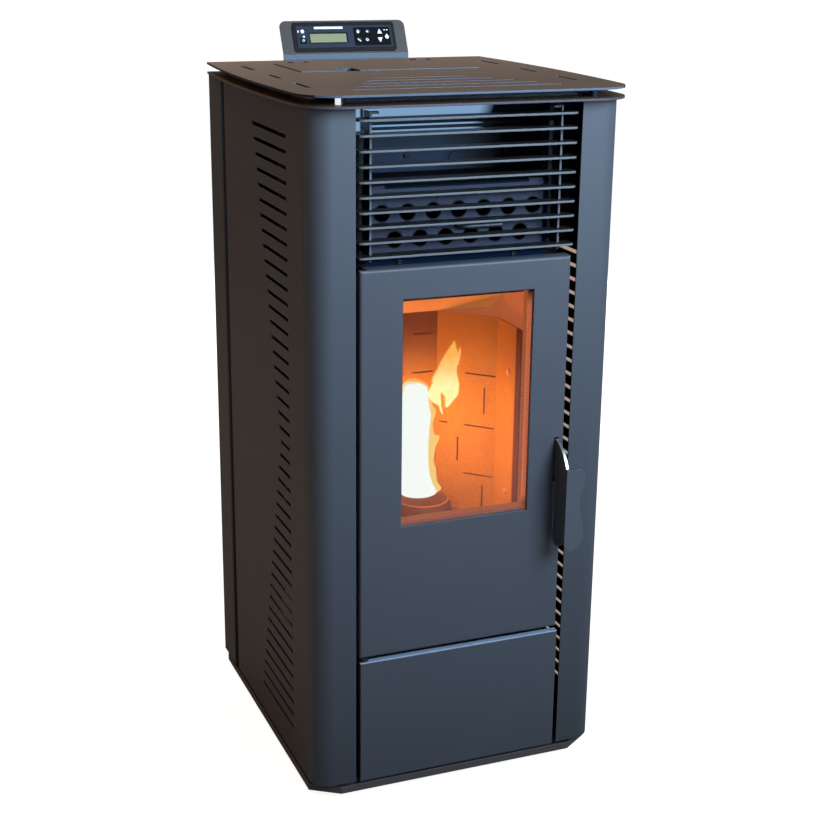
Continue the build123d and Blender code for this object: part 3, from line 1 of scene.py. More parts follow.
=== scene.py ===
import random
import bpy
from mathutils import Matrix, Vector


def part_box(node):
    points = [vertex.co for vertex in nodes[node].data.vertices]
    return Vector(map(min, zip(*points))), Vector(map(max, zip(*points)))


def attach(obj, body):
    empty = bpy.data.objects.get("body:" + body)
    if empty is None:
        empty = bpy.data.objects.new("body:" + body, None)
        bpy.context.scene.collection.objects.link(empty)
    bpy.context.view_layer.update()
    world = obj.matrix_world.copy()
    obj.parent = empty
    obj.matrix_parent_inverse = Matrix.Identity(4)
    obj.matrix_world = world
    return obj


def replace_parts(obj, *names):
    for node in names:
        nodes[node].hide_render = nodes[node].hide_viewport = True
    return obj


bl_info = {
    "name": "Pellet Stove",
    "version": (1, 0, 0),
    "blender": (4, 5, 0),
    "location": "View3D > Sidebar > Stove",
    "description": "Finishes, fire and small fittings of an air-heating pellet stove",
    "category": "Object",
}

from math import cos, pi, radians, sin

import bmesh
import bpy
from bpy.props import FloatProperty, FloatVectorProperty, IntProperty, PointerProperty
from mathutils import Matrix, Vector

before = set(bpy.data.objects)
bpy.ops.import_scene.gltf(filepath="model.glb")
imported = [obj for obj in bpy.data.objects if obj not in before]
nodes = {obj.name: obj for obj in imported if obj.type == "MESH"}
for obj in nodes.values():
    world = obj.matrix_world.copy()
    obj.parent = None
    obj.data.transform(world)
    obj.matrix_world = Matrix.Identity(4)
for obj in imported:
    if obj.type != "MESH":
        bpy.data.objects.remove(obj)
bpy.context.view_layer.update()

MM = 0.001
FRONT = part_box("right_casing")[0][1]      # the flat front of the pilasters, depth 0
EYE = (-818.3, -1835.9, 1212.0)           # the camera: right, depth and height in millimetres
EYE_YAW, EYE_PITCH, EYE_ROLL = radians(21.95), radians(17.66), radians(0.65)
PANEL_TILT = radians(26.0)
PANEL_FOOT = Vector((0.0, FRONT + 492 * MM, 1018 * MM))
PANEL_UP = Vector((0.0, sin(PANEL_TILT), cos(PANEL_TILT)))
PANEL_OUT = Vector((0.0, -cos(PANEL_TILT), sin(PANEL_TILT)))
BLACK, WHITE = (0.0, 0.0, 0.0), (1.0, 1.0, 1.0)
HAIR = 0.01                               # half width of a mask's sharp edge


def place(x, depth, z):
    """Point from millimetres: right, behind the pilasters' front, above the floor."""
    return Vector((x * MM, FRONT + depth * MM, z * MM))


def on_panel(x, up, out):
    """Point on the tilted control panel, in millimetres."""
    return PANEL_FOOT + Vector((x * MM, 0, 0)) + PANEL_UP * up * MM + PANEL_OUT * out * MM


# ------------------------------------------------------------------ sizes and colours
def colour(name, text, default):
    return FloatVectorProperty(
        name=name, description=text, default=default, size=3, min=0.0, max=1.0, subtype="COLOR"
    )


def length(name, text, default):
    return FloatProperty(name=name, description=text, default=default, min=0.0, unit="LENGTH", precision=4)


def power(name, text, default):
    return FloatProperty(name=name, description=text, default=default, min=0.0, unit="POWER")


class StovePaint(bpy.types.PropertyGroup):
    casing: colour("Casing", "Powder coat of the side casings and the rear cover", (0.060, 0.063, 0.072))
    fronts: colour("Fronts", "Powder coat of the door and the lower panel", (0.066, 0.067, 0.078))
    top: colour("Top", "Powder coat of the two top plates and the lid", (0.102, 0.062, 0.036))
    tray: colour("Tray", "Powder coat of the base tray", (0.052, 0.040, 0.034))
    lit: colour("Lit edges", "Front edges of the plates, where they catch the window", (0.100, 0.132, 0.185))
    grain: FloatProperty(
        name="Grain", description="How many grains of the coat's texture to a metre", default=900.0, min=10.0
    )
    roughness: FloatProperty(
        name="Roughness", description="Gloss of the powder coat", default=0.48, min=0.0, max=1.0, subtype="FACTOR"
    )


class StoveFire(bpy.types.PropertyGroup):
    core: colour("Core", "Colour of the flame's hot core", (0.92, 0.97, 0.94))
    sheath: colour("Sheath", "Colour of the flame's outer tongues", (1.0, 0.42, 0.06))
    glow: colour("Glow", "Colour that the fire throws on the lining", (1.0, 0.36, 0.08))
    heat: power("Heat", "Power of the fire's light", 1.0)
    embers: IntProperty(name="Embers", description="Glowing pellets in the burn pot", default=60, min=0)


class StoveFittings(bpy.types.PropertyGroup):
    screw_radius: length("Screw radius", "Radius of the pan heads", 4.2 * MM)
    screw_height: length("Screw height", "Height of the pan heads", 2.2 * MM)
    rope_radius: length("Rope radius", "Radius of the braided sealing ropes", 3.95 * MM)
    braid: length("Braid", "Length of one plait along the rope", 9.0 * MM)


class StoveStage(bpy.types.PropertyGroup):
    floor: colour("Floor", "Colour of the floor where it isn't seen directly", (0.30, 0.28, 0.26))
    key: power("Key", "Power of the cool window in front", 90.0)
    fill: power("Fill", "Power of the warm light at the left", 5.0)
    above: power("Above", "Power of the warm light from above", 24.0)
    back: power("Back", "Power of the light behind", 75.0)
    glow: power("Glow", "Power of the light off the wooden floor", 2.0)
    lens: FloatProperty(name="Lens", description="Focal length on a 36 mm sensor", default=66.48, min=10.0)


# ------------------------------------------------------------------ shader helpers
def put(socket, value):
    """Links a socket to an input or sets its value; a plain colour gets its alpha."""
    if isinstance(value, bpy.types.NodeSocket):
        socket.id_data.links.new(value, socket)
    elif hasattr(value, "__len__") and len(value) < len(socket.default_value):
        socket.default_value = (*value, 1.0)
    else:
        socket.default_value = value


def fill(node, **settings):
    """Sets a node's properties, or its inputs by name, to values or sockets."""
    for key, value in settings.items():
        if hasattr(node, key):
            setattr(node, key, value)
        else:
            put(node.inputs[key.replace("_", " ")], value)
    return node


def add(tree, kind, **settings):
    return fill(tree.nodes.new("ShaderNode" + kind), **settings)


def maths(tree, operation, *values):
    """Math node on values or sockets."""
    node = add(tree, "Math", operation=operation)
    for socket, value in zip(node.inputs, values):
        put(socket, value)
    return node.outputs[0]


def chain(tree, operation, *values):
    """Folds several values or sockets with one operation."""
    total = values[0]
    for value in values[1:]:
        total = maths(tree, operation, total, value)
    return total


def vectors(tree, operation, a, b):
    """Vector math node on two vectors, or on a vector and its scale."""
    node = add(tree, "VectorMath", operation=operation)
    put(node.inputs[0], a)
    put(node.inputs["Scale" if operation == "SCALE" else 1], b)
    return node.outputs["Value" if operation == "DOT_PRODUCT" else "Vector"]


def mixed(tree, factor, a, b):
    """Colour mix of two colours or sockets."""
    node = add(tree, "Mix", data_type="RGBA")
    for name, value in (("Factor_Float", factor), ("A_Color", a), ("B_Color", b)):
        put(next(s for s in node.inputs if s.identifier == name), value)
    return next(s for s in node.outputs if s.identifier == "Result_Color")


def ramp(tree, value, low, high):
    """Straight ramp of a socket: 0 at low, 1 at high."""
    return add(tree, "MapRange", Value=value, From_Min=low, From_Max=high).outputs["Result"]


def clamped(tree, value):
    return maths(tree, "MINIMUM", maths(tree, "MAXIMUM", value, 0.0), 1.0)


def swing(tree, value, amount):
    """Swing of a 0 to 1 socket round zero, times an amount."""
    return maths(tree, "MULTIPLY", maths(tree, "SUBTRACT", value, 0.5), amount)


def surface(tree, kind="Object"):
    """Point of the surface in the object's frame, or its normal."""
    return add(tree, "TexCoord").outputs[kind]


def split(tree, kind="Object"):
    """X, Y and Z of a surface point, or of its normal."""
    return tuple(add(tree, "SeparateXYZ", Vector=surface(tree, kind)).outputs)


def noise(tree, scale, detail=2.0, roughness=0.5, at=None):
    """Noise over the object's own space."""
    at = at or surface(tree)
    cloud = add(tree, "TexNoise", Vector=at, Scale=scale, Detail=detail, Roughness=roughness)
    return cloud.outputs["Fac"]


# ------------------------------------------------------------------ masks
def over(limit):
    """Ends of a sharp step up at a limit."""
    return limit - HAIR, limit + HAIR


def under(limit):
    """Ends of a sharp step down at a limit."""
    return limit + HAIR, limit - HAIR


def band(middle, half, soft):
    """Ends of a band with soft rims."""
    return middle - half - soft, middle - half + soft, middle + half - soft, middle + half + soft


def zone(**limits):
    """Maker of a mask from ends along x, y, z, side or up in millimetres, or nx, ny, nz of the normal.

    Ends are (zero, one) or (zero, one, one, zero). y starts at the pilasters' front, side is the
    distance from the middle, and up runs up the tilted control panel.
    """

    def mask(tree):
        ramps = []
        for key, ends in limits.items():
            if key == "up":
                value = vectors(tree, "DOT_PRODUCT", surface(tree), PANEL_UP)
                value = maths(tree, "SUBTRACT", value, PANEL_FOOT.dot(PANEL_UP))
            elif key == "side":
                value = maths(tree, "ABSOLUTE", split(tree)[0])
            else:
                value = split(tree, "Normal" if key[0] == "n" else "Object")["xyz".index(key[-1])]
            if key[0] != "n":
                ends = [end * MM + (FRONT if key == "y" else 0.0) for end in ends]
            ramps.append(ramp(tree, value, *ends[:2]))
            if len(ends) == 4:
                ramps.append(ramp(tree, value, ends[3], ends[2]))
        return chain(tree, "MULTIPLY", *ramps)

    return mask


def either(*zones):
    """Maker of a mask that joins others."""
    return lambda tree: chain(tree, "MAXIMUM", *(mask(tree) for mask in zones))


# ------------------------------------------------------------------ shader groups
groups = {}


def new_group(name, inputs, outputs):
    """Empty shader group, kept by its name; returns its tree, its inputs and its outputs."""
    tree = bpy.data.node_groups.new(name, "ShaderNodeTree")
    for label, value in inputs.items():
        kind = {3: "Vector", 4: "Color"}[len(value)] if isinstance(value, tuple) else "Float"
        socket = tree.interface.new_socket(name=label, in_out="INPUT", socket_type=f"NodeSocket{kind}")
        socket.default_value = value
    for label, kind in outputs.items():
        tree.interface.new_socket(name=label, in_out="OUTPUT", socket_type=f"NodeSocket{kind}")
    groups[name] = tree
    return tree, tree.nodes.new("NodeGroupInput").outputs, tree.nodes.new("NodeGroupOutput").inputs


def build_face_tints():
    """Paints light and shade on the faces that look ahead, aside or up."""
    grey = (0.1, 0.1, 0.1, 1.0)
    tints = {"Colour": grey, "Ahead": grey, "Aside": grey, "Above": grey, "Square": 0.7}
    tree, start, end = new_group("Face tints", tints, {"Colour": "Color"})
    x, y, z = split(tree, "Normal")
    shade = start["Colour"]
    for word, facing in (
        ("Ahead", maths(tree, "MULTIPLY", y, -1.0)),
        ("Aside", maths(tree, "ABSOLUTE", x)),
        ("Above", z),
    ):
        shade = mixed(tree, maths(tree, "GREATER_THAN", facing, start["Square"]), shade, start[word])
    put(end["Colour"], shade)


def build_coat_grain():
    """Orange-peel texture of a powder coat: colour, roughness and height, with painted light and shade that brighten it
    upwards.
    """
    tree, start, end = new_group(
        "Coat grain",
        {"Colour": (0.1, 0.1, 0.1, 1.0), "Roughness": 0.5, "Grains": 900.0, "Cloud": 0.10, "Fade": 0.0},
        {"Colour": "Color", "Roughness": "Float", "Height": "Float"},
    )
    fine = noise(tree, start["Grains"], 2.0, 0.6)
    drift = swing(tree, noise(tree, 6.0, 4.0, 0.55), start["Cloud"])
    # painted light and shade: lighter towards the top, darker towards the floor
    fade = swing(tree, split(tree)[2], start["Fade"])
    level = chain(tree, "ADD", swing(tree, fine, 0.5), drift, fade, 1.0)
    put(end["Colour"], vectors(tree, "SCALE", start["Colour"], level))
    put(end["Roughness"], maths(tree, "ADD", start["Roughness"], maths(tree, "MULTIPLY", drift, 0.6)))
    put(end["Height"], fine)


def build_edge_light():
    """Mask of the outer edges for a painted highlight where they catch light, and their rounded normal."""
    tree, start, end = new_group("Edge light", {"Radius": 0.0012, "Amount": 1.0}, {"Mask": "Float", "Normal": "Vector"})
    soft = add(tree, "Bevel", samples=4, Radius=start["Radius"]).outputs[0]
    flat = add(tree, "NewGeometry").outputs["Normal"]
    turned = maths(tree, "SUBTRACT", 1.0, vectors(tree, "DOT_PRODUCT", soft, flat))
    mask = clamped(tree, maths(tree, "MULTIPLY", turned, 4.0))
    put(end["Mask"], maths(tree, "MULTIPLY", mask, start["Amount"]))
    put(end["Normal"], soft)


def build_metal_grain():
    """Rolled or drawn metal: long fine streaks along one direction."""
    tree, start, end = new_group(
        "Metal grain",
        {"Colour": (0.5, 0.5, 0.5, 1.0), "Roughness": 0.35, "Stretch": (1.0, 1.0, 12.0), "Stain": 0.2},
        {"Colour": "Color", "Roughness": "Float", "Height": "Float"},
    )
    streak = noise(tree, 60.0, 3.0, at=vectors(tree, "MULTIPLY", surface(tree), start["Stretch"]))
    dull = swing(tree, noise(tree, 14.0, 5.0), start["Stain"])
    level = chain(tree, "ADD", swing(tree, streak, 0.35), dull, 1.0)
    put(end["Colour"], vectors(tree, "SCALE", start["Colour"], level))
    put(end["Roughness"], maths(tree, "ADD", start["Roughness"], maths(tree, "MULTIPLY", dull, -0.5)))
    put(end["Height"], streak)


def build_soot_and_firelight():
    """Mask of soot, and on the burn pot of painted firelight: thicker with height and in clouds."""
    tree, start, end = new_group("Soot and firelight", {"From": 0.55, "To": 0.80, "Clouds": 0.35}, {"Mask": "Float"})
    clouds = swing(tree, noise(tree, 18.0, 5.0, 0.6), start["Clouds"])
    height = ramp(tree, split(tree)[2], start["From"], start["To"])
    put(end["Mask"], clamped(tree, maths(tree, "ADD", height, maths(tree, "MULTIPLY", clouds, 2.0))))


def put_group(tree, name, **values):
    """Places one of the shared groups in a material; returns its outputs."""
    return add(tree, "Group", node_tree=groups[name], **values).outputs


# ------------------------------------------------------------------ materials
def new_material(name, **inputs):
    """Material with a Principled BSDF, its tree and that shader."""
    material = bpy.data.materials.new(name)
    material.use_nodes = True
    tree = material.node_tree
    tree.nodes.clear()
    shader = add(tree, "BsdfPrincipled", **inputs)
    add(tree, "OutputMaterial", Surface=shader.outputs[0])
    return material, tree, shader


def bumped(tree, height, strength, distance, **more):
    """Normal of a surface that is raised by a height."""
    bump = add(tree, "Bump", Height=height, Strength=strength, Distance=distance, **more)
    return bump.outputs[0]


def scaled(tint, share):
    return tuple(share * part for part in tint)


def patched(tree, shade, patches):
    """Lays colours over a shade, each with its mask maker."""
    for mask, tint in patches:
        shade = mixed(tree, mask(tree), shade, tint)
    return shade


def shine_on(tree, shader, mask, tint):
    """Lets the masked part of a material glow in a tint."""
    fill(shader, Emission_Color=mixed(tree, mask(tree), BLACK, tint), Emission_Strength=1.0)


def powder_coat(
    name, base, roughness, grains, edge=0.5, bump=0.12, fade=0.0, gloss=0.45,
    square=0.7, tints=None, patches=(), shine=None, bare_and_highlight=None,
):
    """Fine textured powder coat with a painted highlight on its edges.

    Its face colours paint light and shade on the faces that look ahead, aside or above. Each patch, shine and bare part
    pairs a mask maker with a colour: of the coat, where patches also paint light and shade; of light on it; and of bare
    steel, which also stands for a painted highlight.
    """
    material, tree, shader = new_material(name)
    shade = base
    if tints:
        sides = {word: tints.get(word, base) for word in ("Colour", "Ahead", "Aside", "Above")}
        shade = put_group(tree, "Face tints", Square=square, **sides)["Colour"]
    shade = patched(tree, shade, patches)
    grain = put_group(tree, "Coat grain", Colour=shade, Roughness=roughness, Grains=grains, Fade=fade)
    rim = put_group(tree, "Edge light", Amount=edge)
    # painted highlight: a paler coat on the edges
    edge_highlight_colour = tuple(min(1.0, 2.6 * part + 0.03) for part in base)
    fill(
        shader,
        Base_Color=mixed(tree, rim["Mask"], grain["Colour"], edge_highlight_colour),
        Roughness=grain["Roughness"],
        Normal=bumped(tree, grain["Height"], bump, 0.0004, Normal=rim["Normal"]),
        Specular_IOR_Level=gloss,
    )
    if shine:
        shine_on(tree, shader, *shine)
    if bare_and_highlight:
        bare = bare_and_highlight[0](tree)
        coat = shader.inputs["Base Color"].links[0].from_socket
        smoother = maths(tree, "SUBTRACT", grain["Roughness"], maths(tree, "MULTIPLY", bare, 0.15))
        fill(shader, Base_Color=mixed(tree, bare, coat, bare_and_highlight[1]), Metallic=bare, Roughness=smoother)
    return material


def feed(shader, grain, bump, depth):
    """Feeds the colour, roughness and height of a texture to a shader."""
    height = bumped(shader.id_data, grain["Height"], bump, depth)
    fill(shader, Base_Color=grain["Colour"], Roughness=grain["Roughness"], Normal=height)


def bare_metal(name, base, roughness, stretch=(1.0, 1.0, 12.0), stain=0.25, metallic=1.0):
    """Bare or zinc-coated metal with streaks and stains."""
    material, tree, shader = new_material(name, Metallic=metallic)
    looks = dict(Colour=base, Roughness=roughness, Stretch=stretch, Stain=stain)
    feed(shader, put_group(tree, "Metal grain", **looks), 0.08, 0.0002)
    return material


def moulded_plastic(name, base, roughness, grains=1500.0, bump=0.05, gloss=0.5):
    """Moulded plastic with a faint grain."""
    material, tree, shader = new_material(name, Specular_IOR_Level=gloss)
    feed(shader, put_group(tree, "Coat grain", Colour=base, Roughness=roughness, Grains=grains), bump, 0.0002)
    return material


def sooty_and_firelit_steel(name, base, soot_and_firelight, start, stop, roughness, glow=None, patches=(), shine=None, gloss=0.5):
    """Heat-stained steel whose colour turns between start and stop to an upper colour: soot, and on the burn pot a
    lighter painted firelight; glow is the fire's colour on it and its strength.
    """
    material, tree, shader = new_material(name, Specular_IOR_Level=gloss)
    grain = put_group(tree, "Coat grain", Colour=base, Roughness=roughness, Grains=260.0, Cloud=0.6)
    soot_and_firelight_mask = put_group(tree, "Soot and firelight", From=start, To=stop)["Mask"]
    stained = patched(tree, mixed(tree, soot_and_firelight_mask, grain["Colour"], soot_and_firelight), patches)
    height = bumped(tree, grain["Height"], 0.2, 0.0006)
    fill(shader, Base_Color=stained, Roughness=grain["Roughness"], Normal=height)
    if glow:
        fill(shader, Emission_Color=mixed(tree, soot_and_firelight_mask, glow[0], BLACK), Emission_Strength=glow[1])
    if shine:
        shine_on(tree, shader, *shine)
    return material


def woven_rope(name, base, shine=None):
    """Grey glass-fibre yarn; shine pairs a mask maker with the colour of the fire on it."""
    material, tree, shader = new_material(name, Roughness=0.9, Sheen_Weight=0.3)
    yarn = noise(tree, 900.0, 4.0)
    fill(shader, Base_Color=mixed(tree, yarn, scaled(base, 0.55), base), Normal=bumped(tree, yarn, 0.35, 0.0004))
    if shine:
        shine_on(tree, shader, shine[0], mixed(tree, yarn, scaled(shine[1], 0.4), shine[1]))
    return material


def light_mark(name, base, strength):
    """Printed or lit mark on the control panel."""
    material, tree, shader = new_material(name, Roughness=0.4, Emission_Color=base, Emission_Strength=strength)
    fill(shader, Base_Color=mixed(tree, noise(tree, 400.0), scaled(base, 0.9), base))
    return material


def ceramic_glass(name):
    """Clear heat-resistant glass, faintly amber."""
    material, tree, shader = new_material(name, Roughness=0.03, IOR=1.47, Specular_IOR_Level=0.12)
    soot_and_firelight_mask = put_group(tree, "Soot and firelight", From=0.70, To=0.90)["Mask"]
    amber = mixed(tree, soot_and_firelight_mask, (1.0, 0.985, 0.965), (0.90, 0.86, 0.82))
    fill(shader, Base_Color=amber, Transmission_Weight=1.0)
    return material


def display_green(name):
    """Green text display: faint cells in two rows behind a clear window."""
    lamp = (0.29, 0.30, 0.170)
    material, tree, shader = new_material(name, Roughness=0.22, Emission_Color=lamp, Emission_Strength=0.2)
    level = add(tree, "Mapping", Vector=surface(tree), Rotation=(PANEL_TILT - pi / 2, 0.0, 0.0))
    cells = add(
        tree, "TexBrick", offset=0.0, Scale=1.0, Vector=level.outputs[0],
        Brick_Width=3.55 * MM, Row_Height=6.3 * MM, Mortar_Size=0.35 * MM,
        Color1=(0.30, 0.30, 0.165), Color2=(0.29, 0.29, 0.160), Mortar=(0.32, 0.32, 0.180),
    )
    fill(shader, Base_Color=cells.outputs["Color"])
    return material


def flame_material(name, low, high, strength, alpha, start=0.46, stop=0.63):
    """Burning gas: its colour runs up the flame from start to stop, and alpha under 1 lets light through."""
    material, tree, shader = new_material(name, Base_Color=BLACK, Roughness=1.0, Specular_IOR_Level=0.0)
    climb = ramp(tree, split(tree)[2], start, stop)
    mask = clamped(tree, maths(tree, "ADD", climb, swing(tree, noise(tree, 45.0, 3.0), 0.7)))
    fill(shader, Emission_Color=mixed(tree, mask, low, high), Emission_Strength=strength)
    if alpha < 1.0:
        thinner = maths(tree, "SUBTRACT", 1.0, maths(tree, "MULTIPLY", mask, 0.45))
        fill(shader, Alpha=maths(tree, "MULTIPLY", thinner, alpha))
    return material


def coat_nodes(material, *names):
    """Gives CAD nodes a material in place of the plain one they came with."""
    for name in names:
        mesh = nodes[name].data
        mesh.materials.clear()
        mesh.materials.append(material)


# ------------------------------------------------------------------ mesh helpers
def link_mesh(name, mesh, material):
    """Links a finished mesh as an object of the scene."""
    data = bpy.data.meshes.new(name)
    mesh.to_mesh(data)
    mesh.free()
    data.materials.append(material)
    piece = bpy.data.objects.new(name, data)
    bpy.context.scene.collection.objects.link(piece)
    return piece


def new_piece(name, mesh, body, material, smooth=True):
    """Links a finished mesh as a piece that rides on a body."""
    for face in mesh.faces:
        face.smooth = smooth
    piece = link_mesh(name, mesh, material)
    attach(piece, body)
    return piece


def round_angles(sides):
    return [2 * pi * i / sides for i in range(sides)]


def loft(mesh, rings, closed=False):
    """Joins rings one after another; an open loft gets its two ends."""
    for low, high in zip(rings, rings[1:] + (rings[:1] if closed else [])):
        for i in range(len(low)):
            j = (i + 1) % len(low)
            mesh.faces.new((low[i], low[j], high[j], high[i]))
    if not closed:
        mesh.faces.new(reversed(rings[0]))
        mesh.faces.new(rings[-1])


def add_turned(mesh, at, axis, profile, sides=20, hex_deep=0.0):
    """Adds a turned body: profile is (radius, height) from the seat to the crown, with a hexagon socket."""
    to_axis = Vector((0, 0, 1)).rotation_difference(Vector(axis)).to_matrix().to_4x4()
    pose = Matrix.Translation(at) @ to_axis

    def ring(height, reach):
        points = (Vector((reach(a) * cos(a), reach(a) * sin(a), height)) for a in round_angles(sides))
        return [mesh.verts.new(pose @ point) for point in points]

    rings = [ring(height, lambda angle, radius=radius: radius) for radius, height in profile]
    if hex_deep:
        crown, top = profile[-1]

        def bite(angle):
            return 0.62 * crown * cos(pi / 6) / cos((angle % (pi / 3)) - pi / 6)

        rings += [ring(top, bite), ring(top - hex_deep, bite)]
    loft(mesh, rings)


def plate_on(mesh, corners, out, thick):
    """Adds a thin plate: its outline, the way out and the thickness."""
    loft(mesh, [[mesh.verts.new(p + out * lift) for p in corners] for lift in (0.0, thick)])


def ring_on(mesh, x, up, inner, outer, out, thick, sides=24):
    """Adds a flat ring on the control panel."""
    loops = []
    for radius, lift in ((inner, thick), (outer, thick), (outer, 0.0), (inner, 0.0)):
        spots = (on_panel(x + radius * cos(a), up + radius * sin(a), out) for a in round_angles(sides))
        loops.append([mesh.verts.new(spot + PANEL_OUT * lift) for spot in spots])
    loft(mesh, loops, closed=True)


def round_outline(x, up, half_wide, half_tall, radius, out, steps=6):
    """Corners of a rounded rectangle on the control panel."""
    points = []
    for quarter, (sx, sy) in enumerate(((1, 1), (-1, 1), (-1, -1), (1, -1))):
        for i in range(steps + 1):
            angle = (quarter + i / steps) * pi / 2
            across = x + sx * (half_wide - radius) + radius * cos(angle)
            points.append(on_panel(across, up + sy * (half_tall - radius) + radius * sin(angle), out))
    return points


def tube_along(mesh, path, radius_at, sides):
    """Sweeps rings along a closed path; radius_at(i, angle) shapes each ring."""
    rings, side = [], None
    for i, point in enumerate(path):
        along = (path[(i + 1) % len(path)] - path[i - 1]).normalized()
        side = side or along.orthogonal().normalized()
        side = (side - along * side.dot(along)).normalized()
        other = along.cross(side)
        spots = (point + (side * cos(a) + other * sin(a)) * radius_at(i, a) for a in round_angles(sides))
        rings.append([mesh.verts.new(spot) for spot in spots])
    loft(mesh, rings, closed=True)


def smooth_line(points, steps):
    """Points along a Catmull-Rom curve through rows of numbers."""
    rows = [Vector(p) for p in points]
    rows = [rows[0] * 2 - rows[1]] + rows + [rows[-1] * 2 - rows[-2]]
    out = []
    for a, b, c, d in zip(rows, rows[1:], rows[2:], rows[3:]):
        for k in range(steps):
            t = k / steps
            bend, twist = 2 * a - 5 * b + 4 * c - d, 3 * b - a - 3 * c + d
            out.append(0.5 * (2 * b + (c - a) * t + bend * t * t + twist * t**3))
    return out + [rows[-2]]


def stack_slices(mesh, rows, depth, flat, swell, sides=20, steps=3):
    """Stacks elliptical slices of (height, left, right) rows; flat is how deep they are to their width."""
    rings = []
    for z, left, right in smooth_line(rows, steps):
        half = max(0.3, (right - left) / 2 + swell)
        deep = max(0.4, half * flat)
        middle = (left + right) / 2
        spots = (place(middle + half * cos(a), depth + deep * sin(a), z) for a in round_angles(sides))
        rings.append([mesh.verts.new(spot) for spot in spots])
    loft(mesh, rings)


# ------------------------------------------------------------------ operators
class StoveOperator(bpy.types.Operator):
    bl_options = {"REGISTER", "UNDO"}


class STOVE_OT_coatings(StoveOperator):
    """Powder coat on the casings, plates, fronts and grille"""

    bl_idname = "stove.coatings"
    bl_label = "Powder coats"

    def execute(self, context):
        paint = context.scene.stove_paint
        dark, night = (0.012, 0.010, 0.009), (0.007, 0.007, 0.008)
        # painted highlight along the lower panel's top edge
        panel_lip_highlight = zone(z=over(1000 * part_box("lower_panel")[1][2] - 1.8))
        # the white spacer's own white is given as a glow, a painted highlight
        white_disc = zone(x=under(-180.5), y=under(16))      # the spacer at the front left
        # painted light on the level part of the top towards the wall
        far_end_light = zone(nz=over(0.7), y=(100, 480))           # level part of the top towards the wall
        # painted shade on the lower half of the bar
        bar_foot_shade = zone(z=(1004, 1000))                      # lower half of the bar between the plates
        pale_corner = zone(z=(955, 958), x=(-138, -140))     # frame's sheet at the top left, lit by the window

        def coat(name, base, *coated, roughness=paint.roughness, **looks):
            coat_nodes(powder_coat(name, base, roughness, paint.grain, **looks), *coated)

        # painted shade on the casings' flat sides, and painted light brightening them towards the top
        coat(
            "casing_coat", paint.casing, "right_casing", "left_casing", "rear_cover",
            edge=0.2, fade=1.1, square=0.985, tints={"Aside": (0.049, 0.041, 0.037)},
        )
        # painted light brightening the door and the lower panel towards the top
        coat("front_coat", paint.fronts, "fire_door", fade=0.8)
        coat("lower_coat", paint.fronts, "lower_panel", fade=0.8, patches=((panel_lip_highlight, (0.30, 0.36, 0.45)),))
        # painted light on the front faces of the top plate and lid and towards the wall, painted shade on their left
        # faces
        coat(
            "top_coat", paint.top, "top_plate", "hopper_lid", edge=0.25,
            tints={"Ahead": paint.lit, "Aside": dark}, patches=((far_end_light, (0.190, 0.122, 0.082)),),
        )
        # painted light on the rim plate's front faces
        coat("rim_coat", paint.top, "rim_plate", edge=0.25, tints={"Ahead": (0.086, 0.064, 0.086)})
        coat("tray_coat", paint.tray, "base_tray", roughness=0.6)
        # painted light on the spacers' front faces, painted shade on the lower half of the bar, and a glowing white
        # spacer
        coat(
            "spacer_coat", dark, "plate_spacers", roughness=0.5, edge=0.2, tints={"Ahead": (0.050, 0.105, 0.27)},
            patches=((bar_foot_shade, (0.006, 0.008, 0.016)),), shine=(white_disc, (0.85, 0.83, 0.86)),
        )
        # painted light on the front faces of the lamellae and combs; the lamellae's dark tops are painted shade
        coat("slat_coat", (0.016, 0.013, 0.012), "grille_lamellae", edge=0.15, tints={"Ahead": (0.165, 0.165, 0.170)})
        coat("comb_coat", dark, "grille_combs", edge=0.1, tints={"Ahead": (0.13, 0.135, 0.145)})
        coat("frame_coat", night, "lid_hinge", "plate_screws", roughness=0.6, edge=0.1)
        coat("outlet_coat", night, "front_frame", roughness=0.6, edge=0.05, shine=(pale_corner, (0.22, 0.37, 0.56)))
        # painted light on the bracket's front band
        coat(
            "bracket_coat", (0.076, 0.062, 0.052), "control_bracket",
            edge=0.2, square=0.97, tints={"Ahead": (0.105, 0.145, 0.192)},
        )
        coat_nodes(moulded_plastic("foot_rubber", (0.02, 0.02, 0.02), 0.8), "foot_pads")
        return {"FINISHED"}


class STOVE_OT_lever(StoveOperator):
    """Coat on the door's lever, with bright bare steel on its top curve: partly its bare edge, partly a painted
    highlight
    """

    bl_idname = "stove.lever"
    bl_label = "Lever"

    def execute(self, context):
        paint = context.scene.stove_paint
        # the bare steel on the top curve is partly a painted highlight
        top_curve = zone(nx=(-0.5 - HAIR, HAIR - 0.5, 0.5 - HAIR, 0.5 + HAIR), y=under(12), z=over(484))
        bare_and_highlight = (top_curve, (0.62, 0.61, 0.58))
        lever = powder_coat("lever_coat", paint.fronts, paint.roughness, paint.grain, edge=0.4, bare_and_highlight=bare_and_highlight)
        coat_nodes(lever, "door_lever")
        return {"FINISHED"}


